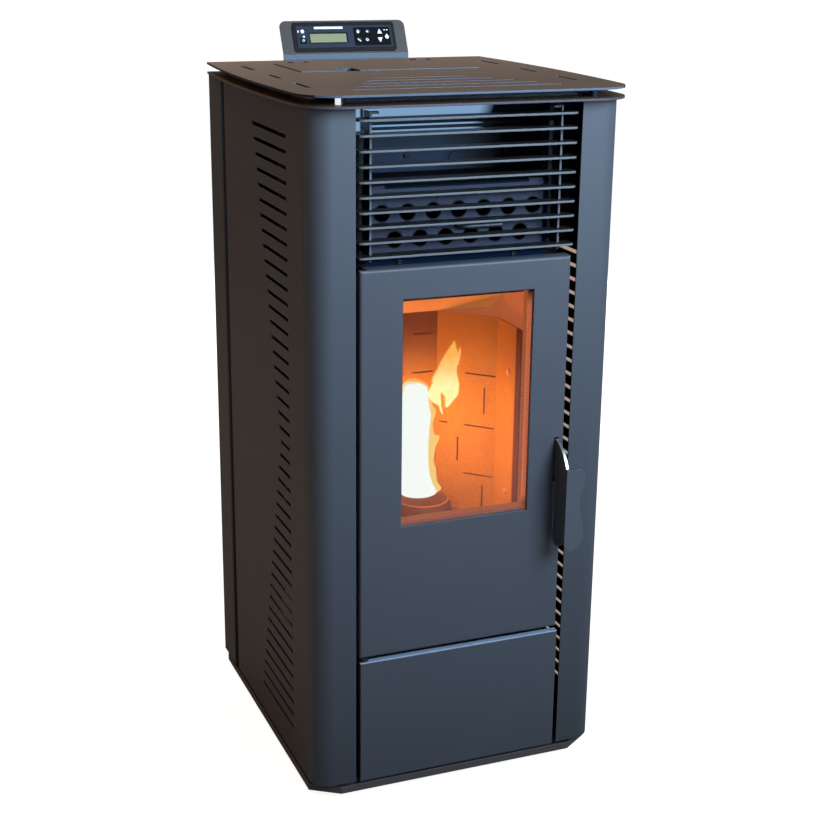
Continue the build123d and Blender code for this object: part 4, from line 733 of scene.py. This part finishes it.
class STOVE_OT_fire_metal(StoveOperator):
    """Heat-stained steel of the firebox, its lining and the exchanger, with the fire's light painted on it"""

    bl_idname = "stove.fire_metal"
    bl_label = "Firebox metal"

    def execute(self, context):
        glow = tuple(context.scene.stove_fire.glow)
        slate, soot_and_firelight = (0.088, 0.104, 0.160), (0.008, 0.008, 0.012)
        # the firebox: its outside and front, the strip over the door with painted window light, the top, and its sides
        # over the lining
        shell = either(zone(side=over(134.6)), zone(y=over(239.6)), zone(y=under(42.6)), zone(z=under(340)))
        lintel = zone(y=under(46), z=(768, 770))
        roof = zone(z=over(882))
        cheek_glow = zone(side=under(134), y=band(148, 90, 1), z=band(700, 60, 1))
        # the lining: its back over the flame, and its front edges in the shade of the door's frame
        back_facet = zone(ny=under(-0.85), z=(540, 640))
        front_strip = zone(y=(90, 86))
        tube_mouth_shade = zone(ny=under(-0.7))
        # the inner frame: its lower bar and its right cheek, where the fire shines on them
        sill = either(
            zone(ny=under(0.5), side=(105, 103), z=band(410, 14, 1)),
            zone(ny=under(0.5), x=band(98, 8, 1), z=band(575, 160, 1)),
        )

        def stain(node, *heat, **looks):
            coat_nodes(sooty_and_firelit_steel(*heat, **looks), node)

        # the firebox's pale brown base is painted firelight, the outside keeps its own dark steel, and the sides over
        # the lining glow with painted firelight
        stain(
            "firebox", "firebox_steel", (0.34, 0.18, 0.11), (0.30, 0.15, 0.10), 0.60, 0.95, 0.7,
            patches=((shell, (0.040, 0.036, 0.034)), (lintel, (0.005, 0.026, 0.080)), (roof, (0.006, 0.006, 0.008))),
            shine=(cheek_glow, (0.33, 0.085, 0.030)), gloss=0.15,
        )
        # the lining's orange is partly its own heat tint and partly painted firelight, and its faint glow is painted
        # firelight
        stain(
            "firebox_liner", "lining_steel", (0.56, 0.31, 0.034), (0.44, 0.22, 0.09), 0.52, 0.72, 0.6,
            glow=(glow, 0.05), patches=((back_facet, (0.20, 0.075, 0.045)), (front_strip, (0.12, 0.008, 0.002))),
        )
        # the baffle's pale orange and its glow are painted firelight
        stain(
            "baffle_plate", "baffle_steel", (0.75, 0.44, 0.30), (0.60, 0.36, 0.25), 0.60, 0.80, 0.6,
            glow=(glow, 0.42),
        )
        # the pot's upper colour is lighter: painted firelight brightening it towards its rim
        stain("burn_pot", "pot_iron", (0.20, 0.115, 0.09), (0.30, 0.17, 0.11), 0.33, 0.42, 0.8)
        stain("exchanger_plates", "exchanger_steel", slate, scaled(slate, 0.9), 0.75, 0.95, 0.5, gloss=0.2)
        # painted shade: the tubes' front faces black, widening the dark of their bores
        mouth_shade = ((tube_mouth_shade, (0.004, 0.004, 0.006)),)
        stain("exchanger_tubes", "tube_steel", soot_and_firelight, soot_and_firelight, 0.75, 0.95, 0.55, patches=mouth_shade)
        stain(
            "door_inner_frame", "inner_frame_steel", (0.05, 0.03, 0.024), (0.04, 0.025, 0.02), 0.40, 0.80, 0.6,
            shine=(sill, (0.34, 0.080, 0.022)), gloss=0.15,
        )
        coat_nodes(ceramic_glass("door_glass_clear"), "door_glass")
        return {"FINISHED"}


class STOVE_OT_works(StoveOperator):
    """Zinc, steel and black lacquer of the works inside and behind"""

    bl_idname = "stove.works"
    bl_label = "Works"

    def execute(self, context):
        zinc = bare_metal("zinc_sheet", (0.42, 0.44, 0.46), 0.42, (1.0, 1.0, 2.0), 0.6, 0.85)
        coat_nodes(zinc, "hopper", "auger_tube", "feed_chute", "ash_drawer")
        coat_nodes(zinc, "exhaust_fan_housing", "convection_fan_housing")
        steel = bare_metal("bare_steel", (0.52, 0.52, 0.53), 0.32)
        coat_nodes(steel, "auger_screw", "igniter", "glass_clips", "lever_bracket", "latch_catch", "exhaust_impeller")
        flue = bare_metal("flue_steel", (0.35, 0.35, 0.36), 0.38, (1.0, 10.0, 1.0), 0.35)
        coat_nodes(flue, "flue_spigot", "air_intake_pipe")
        fan = bare_metal("fan_aluminium", (0.66, 0.67, 0.68), 0.35, (10.0, 1.0, 1.0), 0.15)
        coat_nodes(fan, "convection_impeller")
        lacquer = powder_coat("motor_lacquer", (0.03, 0.03, 0.032), 0.4, 1200.0, edge=0.2)
        coat_nodes(lacquer, "auger_gearmotor", "fan_motors")
        coat_nodes(bare_metal("rod_steel", (0.16, 0.175, 0.20), 0.5), "tube_scraper")
        night = (0.004, 0.004, 0.006)
        # the heat shield's blue is painted window light, brighter on its lower strip and fading to painted shade
        # towards the right
        shield_low_light, shade_right = zone(z=(923, 915)), zone(x=(10, 85))
        patches = ((shield_low_light, (0.024, 0.044, 0.100)), (shade_right, night))
        shield = powder_coat("shield_coat", (0.010, 0.035, 0.070), 0.5, 900.0, edge=0.1, patches=patches)
        coat_nodes(shield, "heat_shield")
        shine = (zone(x=(62, 42), z=(944, 948)), (0.20, 0.35, 0.54))    # the outlet's top, where the window reaches in
        coat_nodes(powder_coat("deflector_coat", night, 0.5, 900.0, edge=0.1, shine=shine), "air_deflector")
        return {"FINISHED"}


class STOVE_OT_panel(StoveOperator):
    """Finish, marks and lights of the control panel"""

    bl_idname = "stove.panel"
    bl_label = "Control panel"

    def execute(self, context):
        rim, face, night = (0.018, 0.015, 0.013), (0.034, 0.043, 0.064), (0.004, 0.004, 0.006)
        patches = [
            (zone(x=band(x, half_wide, 0.2), up=band(up, half_tall, 0.2)), tint)
            for x, up, half_wide, half_tall, tint in (
                (1.0, 28.2, 79.0, 17.8, face),
                (-26.75, 26.15, 32.0, 9.0, night),
                (-69.0, 21.9, 5.2, 5.0, night),
            )
        ]
        housing = powder_coat("panel_case", rim, 0.42, 1500.0, bump=0.05, gloss=0.12, patches=patches)
        black = moulded_plastic("key_black", (0.006, 0.006, 0.008), 0.35, gloss=0.08)
        white = light_mark("mark_white", (0.82, 0.88, 0.88), 0.35)
        faint = light_mark("mark_grey", (0.16, 0.18, 0.21), 0.0)
        mint = light_mark("lamp_mint", (0.45, 0.95, 0.80), 0.5)
        coat_nodes(housing, "control_housing")
        coat_nodes(display_green("display_green"), "display_window")
        keys = ("menu", "set", "timer", "mode", "up", "down", "power")
        coat_nodes(black, "keypad_frame", "power_inlet", *(f"{key}_button" for key in keys))
        coat_nodes(moulded_plastic("switch_red", (0.42, 0.02, 0.015), 0.25, 900.0, 0.02), "rocker_switch")
        face_out, pad_out, power_out, key_out, thick = 1.0, 1.6, 2.5, 3.1, 0.12 * MM

        def marks(name, body, material, *outlines, rings=()):
            """Thin raised marks on one body of the panel."""
            mesh = bmesh.new()
            for outline in outlines:
                plate_on(mesh, outline, PANEL_OUT, thick)
            for ring in rings:
                ring_on(mesh, *ring, thick)
            new_piece(name, mesh, body, material, smooth=False)

        def figure(x, up, size, out, points):
            """Outline on the panel from points about its middle."""
            return [on_panel(x + size * px, up + size * py, out) for px, py in points]

        def drop(x, up, size, out):
            """Outline of a drop with its tip up."""
            angles = (pi - pi / 6 + i * (4 * pi / 3) / 10 for i in range(11))
            return figure(x, up, size, out, [(0.0, 1.7)] + [(cos(a), sin(a)) for a in angles])

        def arrow(x, up, size, turn, out):
            """Outline of a triangle that points up (1) or down (-1)."""
            return figure(x, up, size, out, ((0.0, 1.1 * turn), (-turn, -0.75 * turn), (turn, -0.75 * turn)))

        marks(
            "panel_marks",
            "stove",
            white,
            round_outline(-25, 42.6, 24.0, 1.9, 1.85, face_out),
            round_outline(-68.6, 37.3, 3.0, 3.0, 2.95, face_out),
            round_outline(-75.6, 37.3, 1.0, 1.9, 0.9, face_out),
            drop(71.0, 26.2, 3.2, pad_out),
            arrow(68.0, 37.4, 1.5, -1, pad_out),
            arrow(72.4, 37.4, 1.5, -1, pad_out),
        )
        slash = figure(23.2, 21.0, 1.0, key_out, ((-3.0, 1.6), (1.9, -2.9), (3.0, -1.6), (-1.9, 2.9)))
        marks("panel_lamp", "stove", mint, round_outline(-67.2, 28.6, 1.7, 1.7, 1.65, face_out))
        marks("power_mark", "power_key", white, rings=((-69, 21.7, 1.2, 2.0, power_out),))
        marks("menu_mark", "menu_key", white, drop(22.6, 34.6, 2.3, key_out))
        marks("set_mark", "set_key", white, round_outline(38.2, 35.0, 1.9, 1.5, 1.4, key_out))
        marks("timer_mark", "timer_key", white, slash)
        marks("mode_mark", "mode_key", white, rings=((36.4, 21.2, 1.2, 2.3, key_out),))
        marks("up_mark", "up_key", white, arrow(59.0, 34.4, 4.3, 1, key_out))
        marks("down_mark", "down_key", white, arrow(58.5, 21.4, 4.2, -1, key_out))
        for key, x, up in (("menu", 23.7, 35.6), ("set", 39.7, 35.6), ("timer", 23.9, 21.7), ("mode", 36.7, 21.7)):
            marks(f"{key}_ring", f"{key}_key", faint, rings=((x, up, 2.55, 2.95, key_out),))
        return {"FINISHED"}


class STOVE_OT_screws(StoveOperator):
    """Pan-head screws of the lining, lintel, heat shield and rear cover"""

    bl_idname = "stove.screws"
    bl_label = "Screws"

    def execute(self, context):
        size = context.scene.stove_fittings
        # the lining screws' pale orange is painted firelight
        hot = bare_metal("screw_firelit", (1.0, 0.66, 0.46), 0.45, metallic=0.2)
        dark = powder_coat("screw_dark", (0.05, 0.05, 0.055), 0.35, 900.0, edge=0.8)
        ahead, back = (0, -1, 0), (0, 1, 0)
        for name, spots, axis, wide, tall, material in (
            ("lining_screws_left", ((-115, 110, 589), (-115, 108, 405)), (1, 0, 0), 1.2, 1.3, hot),
            ("lining_screws_right", ((115, 110, 589), (115, 108, 405)), (-1, 0, 0), 1.2, 1.3, hot),
            ("lintel_screws", ((-84.5, 42, 781), (84.5, 42, 781)), ahead, 1.0, 1.0, dark),
            ("shield_screws", ((-33, 150, 906.5), (120, 150, 906.5)), ahead, 1.0, 1.0, dark),
            (
                "cover_screws", [(x, 488, z) for x in (-215, 215) for z in (60, 300, 540, 780, 960)],
                back, 1.0, 1.0, dark,
            ),
        ):
            radius, height = wide * size.screw_radius, tall * size.screw_height
            shares = ((1.0, 0.0), (1.0, 0.35), (0.94, 0.7), (0.78, 0.92), (0.58, 1.0))
            profile = [(radius * across, height * up) for across, up in shares]
            mesh = bmesh.new()
            for spot in spots:
                add_turned(mesh, place(*spot), axis, profile, hex_deep=0.7 * height)
            new_piece(name, mesh, "stove", material)
        return {"FINISHED"}


def rope_loop(low, high, depth, corner, step):
    """Closed path in millimetres round a rectangle with round corners, in equal steps."""
    x0, z0, x1, z1 = low[0] + corner, low[1] + corner, high[0] - corner, high[1] - corner
    coarse = []
    for quarter, (x, z) in enumerate(((x1, z1), (x0, z1), (x0, z0), (x1, z0))):
        for i in range(9):
            angle = (quarter + i / 8) * pi / 2
            coarse.append(place(x + corner * cos(angle), depth, z + corner * sin(angle)))
    path, spare = [], 0.0
    for a, b in zip(coarse, coarse[1:] + coarse[:1]):
        run = (b - a).length
        while spare < run:
            path.append(a.lerp(b, spare / run))
            spare += step
        spare -= run
    return path


class STOVE_OT_ropes(StoveOperator):
    """Braided sealing ropes round the glass and the door"""

    bl_idname = "stove.ropes"
    bl_label = "Sealing ropes"

    def execute(self, context):
        size = context.scene.stove_fittings
        step, corner, air = 1.4 * MM, 8.0, 0.05 * MM

        def fire_side(tree):
            """Ribs of the rope's right side and a fainter foot, where the fire shines on them."""
            wave = maths(tree, "SINE", maths(tree, "MULTIPLY", split(tree)[2], 1900.0))
            run = zone(x=(86, 92), z=band(575, 150, 10))(tree)
            foot = maths(tree, "MULTIPLY", zone(z=band(414, 8, 2))(tree), 0.33)
            return maths(tree, "MAXIMUM", maths(tree, "MULTIPLY", run, ramp(tree, wave, -2.6, 1.0)), foot)

        lit = woven_rope("rope_yarn_lit", (0.16, 0.09, 0.06), (fire_side, (1.0, 0.24, 0.10)))
        plain = woven_rope("rope_yarn", (0.30, 0.27, 0.25))
        for name, node, yarn in (("glass_rope", "glass_gasket", lit), ("door_rope", "door_gasket", plain)):
            low, high = (Vector(end) * 1000 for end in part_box(node))
            rope = (high.y - low.y) / 2
            depth = (low.y + high.y) / 2 - 1000 * FRONT
            path = rope_loop((low.x + rope, low.z + rope), (high.x - rope, high.z - rope), depth, corner, step)
            turns = round(len(path) * step / size.braid)

            def plait(i, angle, turns=turns, count=len(path)):
                half = pi * turns * i / count
                strands = max(cos(2 * (angle + half)) ** 2, cos(2 * (angle - half)) ** 2)
                return (size.rope_radius - air) * (0.84 + 0.16 * strands)

            mesh = bmesh.new()
            tube_along(mesh, path, plait, 16)
            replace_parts(new_piece(name, mesh, "door", yarn), node)
        return {"FINISHED"}


# outlines of the flame as the camera sees it: rows of height, left and right in millimetres
FLAME_DEPTH, TONGUE_DEPTH = 162, 145
COLUMN = (
    (395, -24, 20), (399, -33, 24), (412, -36, 17.6), (432, -38, 12), (455, -39, 10), (477, -40, 10.3),
    (500, -40, 11), (522, -39, 13), (534, -38, 10), (551, -36, 8.5), (562, -33, 7), (568, -30, 1), (571, -26, -6),
)
HEM = (
    (396, -28, 28), (401, -36, 33), (412, -39, 26), (433, -41, 23.6), (445, -42, 19.4), (461, -42, 21.5),
    (472, -43, 23.8), (483, -43, 28.8), (488, -43, 20), (500, -43, 17.5), (510, -43, 18.4), (524, -42, 22.1),
    (535, -41, 16), (553, -39, 11), (564, -36, 9.5), (572, -30, 0), (577, -24, -9),
)
INNER = (
    (517, 32.3, 33.7), (524, 28.5, 32.6), (531, 26.7, 30.7), (538, 16.7, 30.5), (546, 10.2, 29.5),
    (552, 9, 30), (558, 11.5, 36), (566, 15, 38), (574, 19, 37), (580, 23, 34),
)
LOBE = (
    (527, 38.4, 40.4), (532, 37.1, 45), (539, 36.5, 50.9), (545, 35.9, 56.3), (552, 30.3, 57.8),
    (559, 23.2, 58.1), (564, 17, 57.8), (573, 15.7, 55.8), (581, 19.7, 53.9), (590, 25, 54.5), (598, 29.4, 55.5),
    (607, 34.3, 56), (613, 38.5, 54.7), (620, 43.2, 52.4), (625, 47.3, 51), (629, 49.5, 50.2),
)
FORK = ((592, 48, 57), (602, 53, 59.3), (608, 55.2, 60.5), (613, 57.1, 60.9), (619, 58.9, 59.6))


def lean(rows):
    """The same outline seen from the eye, nearer, so that the tongue clears the baffle when the pot lifts."""
    share = (TONGUE_DEPTH - EYE[1]) / (FLAME_DEPTH - EYE[1])
    return [(EYE[2] + (z - EYE[2]) * share, *(EYE[0] + (x - EYE[0]) * share for x in sides)) for z, *sides in rows]


def add_lamp(name, kind, at, energy, tint, **settings):
    """Links a light that no camera ray or glass sees."""
    data = fill(bpy.data.lights.new(name, kind), energy=energy, color=tint, **settings)
    lamp = bpy.data.objects.new(name, data)
    lamp.location = at
    lamp.visible_camera = lamp.visible_transmission = False
    bpy.context.scene.collection.objects.link(lamp)
    return lamp


class STOVE_OT_flame(StoveOperator):
    """Flame and embers over the burn pot, with the light they throw"""

    bl_idname = "stove.flame"
    bl_label = "Flame"

    def execute(self, context):
        fire = context.scene.stove_fire
        core, sheath = tuple(fire.core), tuple(fire.sheath)
        white = flame_material("flame_core", core, core, 1.05, 1.0)
        gold = flame_material("flame_gold", (1.0, 0.95, 0.42), (1.0, 0.45, 0.08), 1.08, 1.0, 0.568, 0.612)
        fringe = flame_material("flame_fringe", (1.0, 0.72, 0.22), sheath, 0.95, 0.7, 0.53, 0.615)
        for name, material, rows, depth, flat, swell in (
            ("flame_column", white, COLUMN, FLAME_DEPTH, 0.8, 0.0),
            ("flame_hem", fringe, HEM, FLAME_DEPTH, 0.35, 0.0),
            ("flame_inner", gold, lean(INNER), TONGUE_DEPTH, 0.5, 0.0),
            ("flame_lobe", gold, lean(LOBE), TONGUE_DEPTH, 0.5, 0.0),
            ("flame_fork", gold, lean(FORK), TONGUE_DEPTH, 0.5, 0.0),
            ("flame_halo", fringe, lean(LOBE), TONGUE_DEPTH, 0.25, 1.6),
        ):
            mesh = bmesh.new()
            stack_slices(mesh, rows, depth, flat, swell)
            flame = new_piece(name, mesh, "pot", material)
            flame.visible_diffuse = flame.visible_shadow = False

        random.seed(7)
        mesh = bmesh.new()
        pellet = [(2.2 * MM, -4.5 * MM), (3.0 * MM, -4.0 * MM), (3.0 * MM, 4.0 * MM), (2.2 * MM, 4.5 * MM)]
        for _ in range(fire.embers):
            angle, reach = random.uniform(0, 2 * pi), 30 * random.random() ** 0.5
            spot = place(reach * cos(angle), 160 + reach * sin(angle), 330 + random.uniform(0, 38))
            axis = Vector((random.uniform(-1, 1), random.uniform(-1, 1), random.uniform(-0.6, 0.6)))
            add_turned(mesh, spot, axis.normalized(), pellet, sides=10)
        ember = flame_material("ember", (1.0, 0.30, 0.05), (1.0, 0.5, 0.1), 1.2, 1.0)
        new_piece("embers", mesh, "pot", ember, smooth=False).visible_diffuse = False

        for name, at, share in (
            ("fire_light", place(0, 125, 530), 0.6),
            ("fire_light_low", place(0, 110, 450), 0.4),
        ):
            lamp = add_lamp(name, "POINT", at, fire.heat * share, fire.glow, shadow_soft_size=0.03)
            lamp.visible_glossy = False
        return {"FINISHED"}


def straight_view(tree):
    """1 for what the camera sees directly or through clear glass alone."""
    path = add(tree, "LightPath").outputs
    bounces = maths(tree, "ADD", path["Diffuse Depth"], path["Glossy Depth"])
    through = maths(tree, "MULTIPLY", path["Is Transmission Ray"], maths(tree, "LESS_THAN", bounces, 0.5))
    return maths(tree, "MAXIMUM", path["Is Camera Ray"], through)


def two_into(tree, kind, first, second, *factor):
    """Shader node that joins two shaders, with a factor before them if it mixes."""
    node = tree.nodes.new(kind)
    for socket, value in zip(node.inputs, (*factor, first.outputs[0], second.outputs[0])):
        put(socket, value)
    return node.outputs[0]


def room_screen(name, corners, tint):
    """Screen just outside the casings for what shows through their slots: the room, and painted shade where its tint is
    near black; clear from its outer side.
    """
    material, tree, shader = new_material(name)
    tree.nodes.remove(shader)
    shine = add(tree, "Emission", Color=tint, Strength=1.0)
    clear = add(tree, "BsdfTransparent")
    behind = add(tree, "NewGeometry").outputs["Backfacing"]
    put(tree.nodes["Material Output"].inputs["Surface"], two_into(tree, "ShaderNodeMixShader", shine, clear, behind))
    mesh = bmesh.new()
    face = mesh.faces.new([mesh.verts.new(corner) for corner in corners])
    mesh.normal_update()
    if face.normal.dot(face.calc_center_median() - place(0, 250, 500)) > 0:
        face.normal_flip()
    screen = link_mesh(name, mesh, material)
    screen.visible_diffuse = screen.visible_glossy = screen.visible_shadow = False


class STOVE_OT_stage(StoveOperator):
    """Pale floor, soft lights and the camera"""

    bl_idname = "stove.stage"
    bl_label = "Stage"

    def execute(self, context):
        scene = context.scene
        stage = scene.stove_stage
        material, tree, shader = new_material("floor_pale", Base_Color=stage.floor, Roughness=0.95)
        x, y, z = split(tree)
        away = maths(tree, "SQRT", maths(tree, "ADD", maths(tree, "MULTIPLY", x, x), maths(tree, "MULTIPLY", y, y)))
        white = maths(tree, "ADD", 0.92, maths(tree, "MULTIPLY", ramp(tree, away, 0.55, 1.1), 0.08))
        seen = maths(tree, "MULTIPLY", straight_view(tree), white)
        shine = add(tree, "Emission", Color=WHITE, Strength=seen)
        put(tree.nodes["Material Output"].inputs["Surface"], two_into(tree, "ShaderNodeAddShader", shader, shine))
        mesh = bmesh.new()
        bmesh.ops.create_grid(mesh, x_segments=1, y_segments=1, size=14.0)
        link_mesh("floor", mesh, material)

        corners = [place(248, depth, z) for depth, z in ((122, 40), (122, 940), (430, 940), (430, 40))]
        room_screen("room_right", corners, (0.42, 0.31, 0.25))
        # a near-black screen behind the rear gap: painted shade
        corners = [place(x, 500, z) for x, z in ((-200, 30), (90, 30), (90, 240), (-200, 240))]
        room_screen("shade_rear_screen", corners, (0.010, 0.009, 0.008))

        world = scene.world = bpy.data.worlds.new("studio")
        world.use_nodes = True
        tree = world.node_tree
        tree.nodes.clear()
        sky = add(tree, "Background", Color=(0.95, 0.94, 1.0), Strength=0.16)
        white = add(tree, "Background", Color=WHITE, Strength=1.0)
        both = two_into(tree, "ShaderNodeMixShader", sky, white, straight_view(tree))
        add(tree, "OutputWorld", Surface=both)

        for name, at, aim, size, energy, tint in (
            ("key_light", (0.9, -1.9, 1.75), (0.0, -0.25, 1.0), 1.2, stage.key, (0.55, 0.76, 1.0)),
            ("fill_light", (-2.4, 0.2, 1.9), (-0.25, 0.0, 0.9), 1.2, stage.fill, (1.0, 0.68, 0.48)),
            ("above_light", (-0.5, 1.0, 2.8), (0.0, 0.0, 1.0), 1.4, stage.above, (1.0, 0.86, 0.70)),
            ("back_light", (1.4, 2.9, 0.9), (0.0, 0.2, 0.5), 1.6, stage.back, (1.0, 0.98, 0.95)),
            ("floor_glow", (-0.95, 0.15, 0.03), (-0.25, 0.05, 0.25), 0.5, stage.glow, (1.0, 0.50, 0.14)),
        ):
            lamp = add_lamp(name, "AREA", at, energy, tint, size=size)
            lamp.rotation_euler = (Vector(aim) - Vector(at)).to_track_quat("-Z", "Y").to_euler()
            lamp.visible_glossy = name in ("key_light", "above_light")

        level = cos(EYE_PITCH)
        ahead = Vector((sin(EYE_YAW) * level, cos(EYE_YAW) * level, -sin(EYE_PITCH)))
        right = Vector((cos(EYE_YAW), -sin(EYE_YAW), 0.0))
        up = right.cross(ahead)
        tipped = right * cos(EYE_ROLL) + up * sin(EYE_ROLL)
        upper = up * cos(EYE_ROLL) - right * sin(EYE_ROLL)
        camera = bpy.data.objects.new("camera", bpy.data.cameras.new("camera"))
        turn = Matrix((tipped, upper, -ahead)).transposed().to_4x4()
        camera.matrix_world = Matrix.Translation(place(*EYE)) @ turn
        camera.data.lens = stage.lens
        camera.data.sensor_width = 36.0
        camera.data.sensor_fit = "HORIZONTAL"
        scene.collection.objects.link(camera)
        scene.camera = camera
        scene.view_settings.view_transform = "Standard"
        return {"FINISHED"}


class STOVE_PT_panel(bpy.types.Panel):
    """Lists the stove's finishes and pieces"""

    bl_label = "Pellet Stove"
    bl_idname = "STOVE_PT_panel"
    bl_space_type = "VIEW_3D"
    bl_region_type = "UI"
    bl_category = "Stove"

    def draw(self, context):
        scene = context.scene
        for group in (scene.stove_paint, scene.stove_fire, scene.stove_fittings, scene.stove_stage):
            box = self.layout.box()
            for key in group.__annotations__:
                box.prop(group, key)
        for step in OPERATORS:
            self.layout.operator(step.bl_idname)


GROUPS = (StovePaint, StoveFire, StoveFittings, StoveStage)
OPERATORS = (
    STOVE_OT_coatings,
    STOVE_OT_lever,
    STOVE_OT_fire_metal,
    STOVE_OT_works,
    STOVE_OT_panel,
    STOVE_OT_screws,
    STOVE_OT_ropes,
    STOVE_OT_flame,
    STOVE_OT_stage,
)


def register():
    for kind in GROUPS + OPERATORS + (STOVE_PT_panel,):
        bpy.utils.register_class(kind)
    bpy.types.Scene.stove_paint = PointerProperty(type=StovePaint)
    bpy.types.Scene.stove_fire = PointerProperty(type=StoveFire)
    bpy.types.Scene.stove_fittings = PointerProperty(type=StoveFittings)
    bpy.types.Scene.stove_stage = PointerProperty(type=StoveStage)


def unregister():
    for name in ("stove_stage", "stove_fittings", "stove_fire", "stove_paint"):
        delattr(bpy.types.Scene, name)
    for kind in reversed(GROUPS + OPERATORS + (STOVE_PT_panel,)):
        bpy.utils.unregister_class(kind)


def main():
    register()
    for build in (build_face_tints, build_coat_grain, build_edge_light, build_metal_grain, build_soot_and_firelight):
        build()
    bpy.ops.stove.coatings()
    bpy.ops.stove.lever()
    bpy.ops.stove.fire_metal()
    bpy.ops.stove.works()
    bpy.ops.stove.panel()
    bpy.ops.stove.screws()
    bpy.ops.stove.ropes()
    bpy.ops.stove.flame()
    bpy.ops.stove.stage()


if __name__ == "__main__":
    main()
